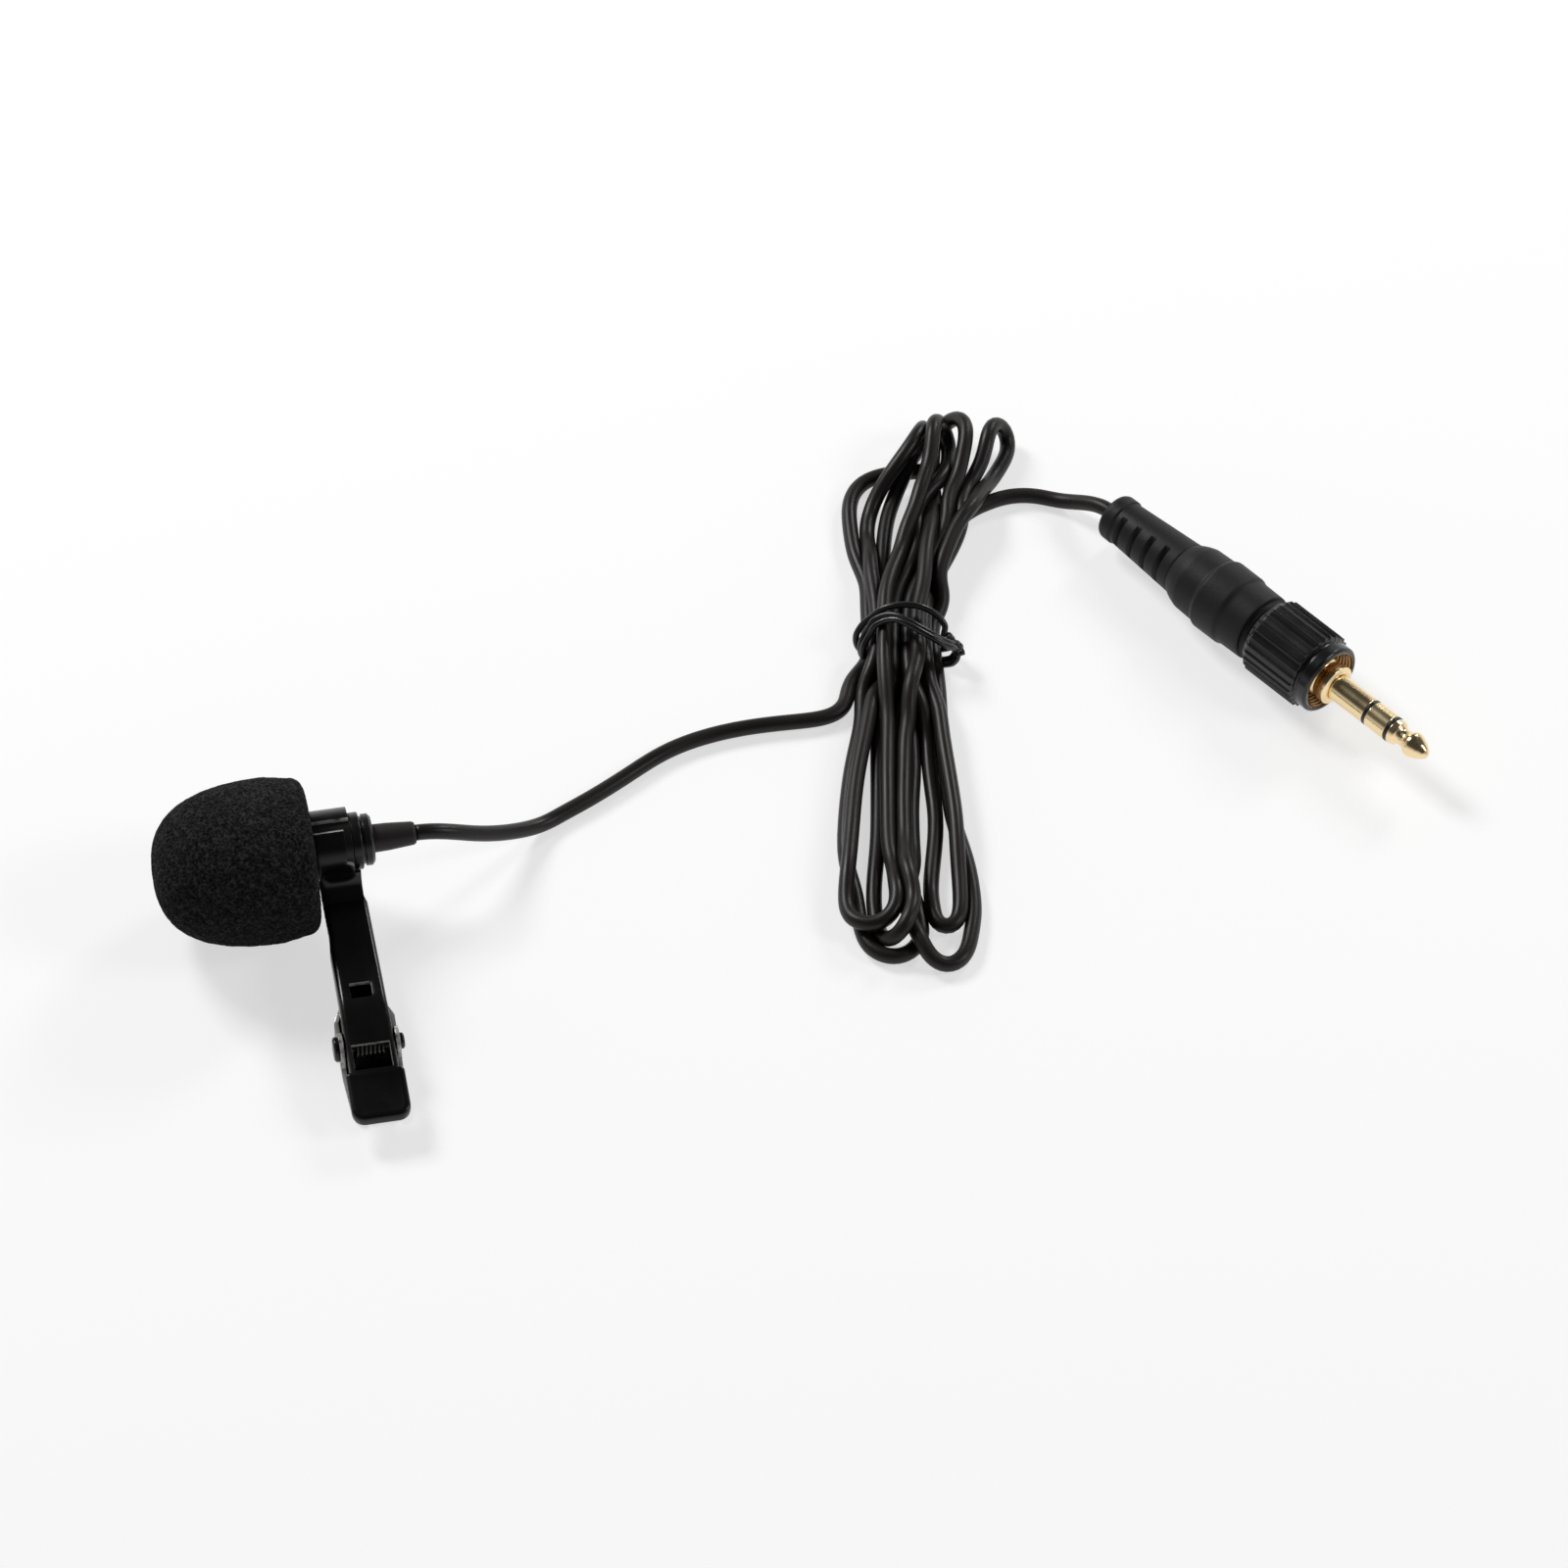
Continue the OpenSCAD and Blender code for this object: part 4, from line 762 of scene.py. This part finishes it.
# ---- Torsion spring ----
# Close-wound coil of oil-blackened drawn wire on the hinge pin; one straight leg presses up on the
# arm and the other down on the jaw.
spring_radius, spring_wire_radius, spring_turns, spring_pitch = 1.4, 0.225, 7.5, 0.53
a = np.linspace(0, spring_turns, 220)
angle = np.radians(100) + 2 * math.pi * a
coil = clip_point(hinge_s + spring_radius * np.cos(angle), spring_pitch * (a - spring_turns / 2),
                  hinge_n + spring_radius * np.sin(angle))
leg_up = coil[0] + np.array([[0, 5, 0.1], [0, 3, 0.08], [0, 1.2, 0.05]])
leg_down = coil[-1] + np.array([[0, 1.2, -0.05], [0, 3, -0.2], [0, 5.5, -0.4]])
spring_line = spaced(np.vstack([leg_up, coil, leg_down]), 0.16)
spring_steel = plain_finish("spring_wire", (0.05, 0.049, 0.048), (0.1, 0.098, 0.095), 0.3, 1.0, 500, 4e-6)
spring = made("torsion_spring_wire", [tube(spring_line, spring_wire_radius, 8)], spring_steel)
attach(spring, "clip")
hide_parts("torsion_spring")

# ---- Plug contacts ----
# Tip, ring and sleeve turned from brass and gold plated, with black insulating rings pressed
# between them; the gold shoulder behind them stands in the collar's mouth.
yaw, tilt = math.radians(122.5), math.radians(2)
plug_tip = np.array([142.3, 7.5, 5.3 + 27.9 * math.sin(tilt)])
plug_along = np.array([math.cos(tilt) * math.cos(yaw), math.cos(tilt) * math.sin(yaw), -math.sin(tilt)])
plug_side = np.array([-math.sin(yaw), math.cos(yaw), 0.0])
plug_axes = (plug_tip, plug_along, plug_side)
gold = plain_finish("gold_plate", (0.9, 0.69, 0.38), (0.96, 0.79, 0.5), 0.22, 1.0, 140, 3e-6)
black_resin = plain_finish("insulating_resin", (0.006, 0.006, 0.006), (0.012, 0.012, 0.012), 0.35, 0.0,
                           500, 5e-6)
contacts = [
    ("tip_contact_gold", "tip_contact", gold, 0.12, [
        (0, 0), (0.02, 0.3), (0.35, 0.72), (1.1, 1.2), (1.9, 1.55), (2.4, 1.7), (2.8, 1.64), (3.3, 1.3),
        (3.7, 1.13), (4.3, 1.12), (4.65, 1.35), (4.85, 1.58), (5.62, 1.7), (5.7, 1.66), (5.7, 0.35),
        (6.0, 0)]),
    ("tip_insulator_ring", "tip_insulator", black_resin, 0.03, [
        (5.68, 0), (5.68, 1.7), (5.76, 1.74), (6.16, 1.74), (6.22, 1.7), (6.22, 0)]),
    ("ring_contact_gold", "ring_contact", gold, 0.05, [
        (6.2, 0), (6.2, 1.68), (6.28, 1.75), (9.34, 1.75), (9.42, 1.68), (9.42, 0)]),
    ("ring_insulator_ring", "ring_insulator", black_resin, 0.03, [
        (9.38, 0), (9.38, 1.7), (9.46, 1.74), (9.86, 1.74), (9.92, 1.7), (9.92, 0)]),
    ("sleeve_contact_gold", "sleeve_contact", gold, 0.05, [
        (9.9, 0), (9.9, 1.68), (9.98, 1.75), (15.52, 1.75), (15.52, 0)]),
    ("gold_shoulder", "plug_ferrule", gold, 0.08, [
        (15.5, 1.6), (15.5, 2.25), (15.62, 2.4), (15.8, 2.7), (16.8, 2.7), (17.05, 2.36), (17.6, 2.36),
        (17.9, 2.7), (20.8, 2.7), (20.8, 1.6)])]
for piece_name, node_name, material, edge, profile in contacts:
    piece = turned(piece_name, profile, plug_axes, material, edge, closed=profile[0][1] > 0)
    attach(piece, "microphone")
    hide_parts(node_name)

# ---- Locking collar ----
# Black anodised nut that turns on the plug: a smooth front band, straight ribs to grip, a bevelled
# rear edge, and in its mouth a bright brass thread that screws onto the socket.
collar_start, collar_end = 16.9, 27.9
rib_count, rib_depth, thread_radius, thread_pitch, thread_depth = 28, 0.3, 4.0, 0.5, 0.22
columns = rib_count * 10
turn = np.linspace(0, 2 * math.pi, columns, endpoint=False)
phase = (turn * rib_count / (2 * math.pi)) % 1
rib = np.clip((0.5 - np.abs(phase - 0.5)) / 0.16, 0, 1)
rib = rib * rib * (3 - 2 * rib)
outer = rounded([
    (collar_start, 4.0), (collar_start, 4.45), (17.18, 4.72), (18.4, 4.72), (18.52, 4.5), (18.75, 4.5),
    (18.9, 4.55), (19.15, 5.28), (27.1, 5.28), (27.8, 4.62), (collar_end, 4.5), (collar_end, 2.45)], 0.1)
ribbed = np.clip((outer[:, 0] - 18.85) / 0.3, 0, 1) * np.clip((27.75 - outer[:, 0]) / 0.25, 0, 1)
thread_length = 3.9
thread_k = np.linspace(thread_length, 0.02, 90)[:, None]
wave = 1 - np.abs((thread_k / thread_pitch + turn[None] / (2 * math.pi)) % 1 * 2 - 1)
run_out = np.clip(thread_k / 0.4, 0, 1) * np.clip((thread_length - thread_k) / 0.4, 0, 1)
along = np.r_[outer[:, 0], collar_end, 20.9, 20.9, collar_start + thread_k[:, 0], collar_start]
radius = np.vstack([outer[:, 1:] - ribbed[:, None] * rib_depth * rib[None],
                    np.repeat([[2.35], [2.35], [3.95]], columns, axis=1),
                    thread_radius - thread_depth * wave * run_out, np.full((1, columns), thread_radius)])
brass = np.repeat(np.arange(len(along)) > len(outer) + 1, columns)
collar_points = carried_round(plug_axes, along, radius, turn)
collar_black = grained("collar_black", 150, (0.0035, 0.004, 0.004), (0.009, 0.0095, 0.0095),
                       (0.16, 0.28), 1600, 4e-6)
tree, shader, colour = opened(collar_black)
inside = node(tree, "ShaderNodeAttribute", attribute_name="brass").outputs["Fac"]
tree.links.new(blended(tree, inside, colour, (0.3, 0.17, 0.07)), shader.inputs["Base Color"])
tree.links.new(inside, shader.inputs["Metallic"])
collar = made("locking_collar_ribbed", [
    (collar_points, grid_faces(len(along), columns, round_columns=True, round_rows=True), {"brass": brass})],
    collar_black)
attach(collar, "collar")
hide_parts("locking_collar")

# ---- Plug body ----
# Moulded sleeve of matt black rubbery plastic with a raised grip band, pushed over the metal liner.
plug_rubber = grained("plug_rubber", 120, (0.006, 0.0062, 0.0063), (0.012, 0.0122, 0.0122),
                      (0.46, 0.62), 2400, 2.5e-5, specular=0.3)
body = turned("plug_body_moulded", [
    (28.2, 3.4), (28.2, 4.05), (28.9, 4.05), (28.95, 4.6), (32.0, 4.66), (32.5, 4.7), (33.0, 4.93),
    (36.8, 4.95), (37.3, 4.62), (40.4, 4.5), (41.4, 4.2), (42.3, 3.8), (42.7, 3.6), (42.7, 3.0), (40.0, 3.0)],
    plug_axes, plug_rubber, 0.22, closed=True)
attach(body, "microphone")
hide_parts("plug_body")

# ---- Boot ----
# Tapered sleeve of soft rubber moulded on the cord, with four crescent slots on each side that let
# it bend, and a rounded collar at its end.
slot_starts, slot_width, slot_roll, slot_chord = 44.3 + 2.5 * np.arange(4), 0.8, math.radians(110), 2.1
boot_root = rounded([(42.6, 0), (42.6, 3.55), (42.8, 3.64), (43.0, 3.63)], 0.16)
boot_end = rounded([(53.3, 2.967), (53.4, 2.96), (53.55, 3.16), (54.9, 3.14), (55.35, 2.9), (55.6, 2.4),
                    (55.6, 0.9), (55.3, 0)], 0.16)
slot_edges = slot_starts[:, None] + [-0.06, 0, 0.04, slot_width - 0.04, slot_width, slot_width + 0.06]
middle = np.unique(np.round(np.r_[slot_edges.ravel(), np.linspace(43.2, 53.2, 21)], 4))
taper = np.stack([middle, np.interp(middle, [42.8, 53.4], [3.64, 2.96])], 1)
boot_rows = np.vstack([boot_root, taper, boot_end])
into_slot = boot_rows[:, :1] - slot_starts
slotted = ((into_slot > -0.01) & (into_slot < slot_width + 0.01)).any(1)
turn = np.linspace(0, 2 * math.pi, 160, endpoint=False)
reach = slot_chord / np.maximum(np.abs(np.sin(turn - slot_roll)), 0.2)[None]
boot_radius = np.where(slotted[:, None], np.minimum(boot_rows[:, 1:], reach), boot_rows[:, 1:])
boot_points = carried_round(plug_axes, boot_rows[:, 0], boot_radius, turn)
boot = made("plug_boot_slotted", [
    (boot_points, grid_faces(len(boot_rows), len(turn), round_columns=True))], plug_rubber)
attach(boot, "microphone")
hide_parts("plug_boot")

# ---- Parts inside the plug ----
# Tinned liner with its cord clamp, the small solder board behind the contacts, and the steel
# washer that keeps the collar on. They are closed in by the body.
tinned = plain_finish("tinned_brass", (0.55, 0.55, 0.56), (0.66, 0.66, 0.66), 0.32, 1.0, 260, 5e-6)
for inner, slot_name, material in (
        ("plug_liner", "pin_steel", tinned), ("cord_clamp", "pin_steel", tinned),
        ("contact_board", "board", board_green), ("collar_washer", "pin_steel", tinned)):
    dress(inner, material)

# ---- Table and light ----
# White table top that runs on past the view, in a white room with a dark ceiling, under one soft
# lamp behind it on the left, a smaller one behind it on the right and a faint one at its right side.
table_reach, table_lift = 4, 0.62
room_white, ceiling_grey = 0.8, 0.05
set_middle = np.array([0.07, 0.02, 0])
table_mesh = bpy.data.meshes.new("table_top")
corners = [(x * table_reach, y * table_reach, 0) for x, y in ((-1, -1), (1, -1), (1, 1), (-1, 1))]
table_mesh.from_pydata(corners, [], [(0, 1, 2, 3)])
table = placed("table_top", table_mesh)
white, tree, shader = finish_of("table_white", (0.5, 0.5, 0.5), 0.9, specular=0.0)
rays = node(tree, "ShaderNodeLightPath")
seen = combined(tree, "MAXIMUM", rays.outputs["Is Camera Ray"], rays.outputs["Is Glossy Ray"])
seen = combined(tree, "MAXIMUM", seen, rays.outputs["Is Transmission Ray"])
shader.inputs["Emission Color"].default_value = (1, 1, 1, 1)
tree.links.new(combined(tree, "MULTIPLY", seen, table_lift), shader.inputs["Emission Strength"])
table_mesh.materials.append(white)

world = bpy.data.worlds.new("room")
bpy.context.scene.world = world
world.use_nodes = True
tree = world.node_tree
background = tree.nodes["Background"]
background.inputs["Color"].default_value = (1, 1, 1, 1)
direction = node(tree, "ShaderNodeTexCoord").outputs["Generated"]
height = node(tree, "ShaderNodeSeparateXYZ", {"Vector": direction}).outputs["Z"]
ceiling = node(tree, "ShaderNodeMapRange", {"Value": height}, From_Min=0.1, From_Max=0.45,
               To_Min=room_white, To_Max=ceiling_grey)
camera_ray = node(tree, "ShaderNodeLightPath").outputs["Is Camera Ray"]
tree.links.new(combined(tree, "MAXIMUM", ceiling.outputs[0], camera_ray), background.inputs["Strength"])


def lamp(name, direction, distance, size, power):
    """A square soft lamp that far from the set's middle in that direction, facing it."""
    light = bpy.data.lights.new(name, "AREA")
    light.size = size
    light.energy = power
    found = placed(name, light)
    toward = np.array(direction) / np.linalg.norm(direction)
    found.location = set_middle + toward * distance
    found.rotation_euler = (math.acos(toward[2]), 0, math.atan2(toward[1], toward[0]) + math.pi / 2)


lamp("key", (-0.45, 0.60, 0.66), 0.95, 0.28, 5.0)
lamp("rim", (0.60, 0.60, 0.53), 0.95, 0.22, 2.0)
lamp("side", (0.75, -0.25, 0.6), 0.9, 0.25, 1.5)
bpy.context.scene.view_settings.view_transform = "Standard"
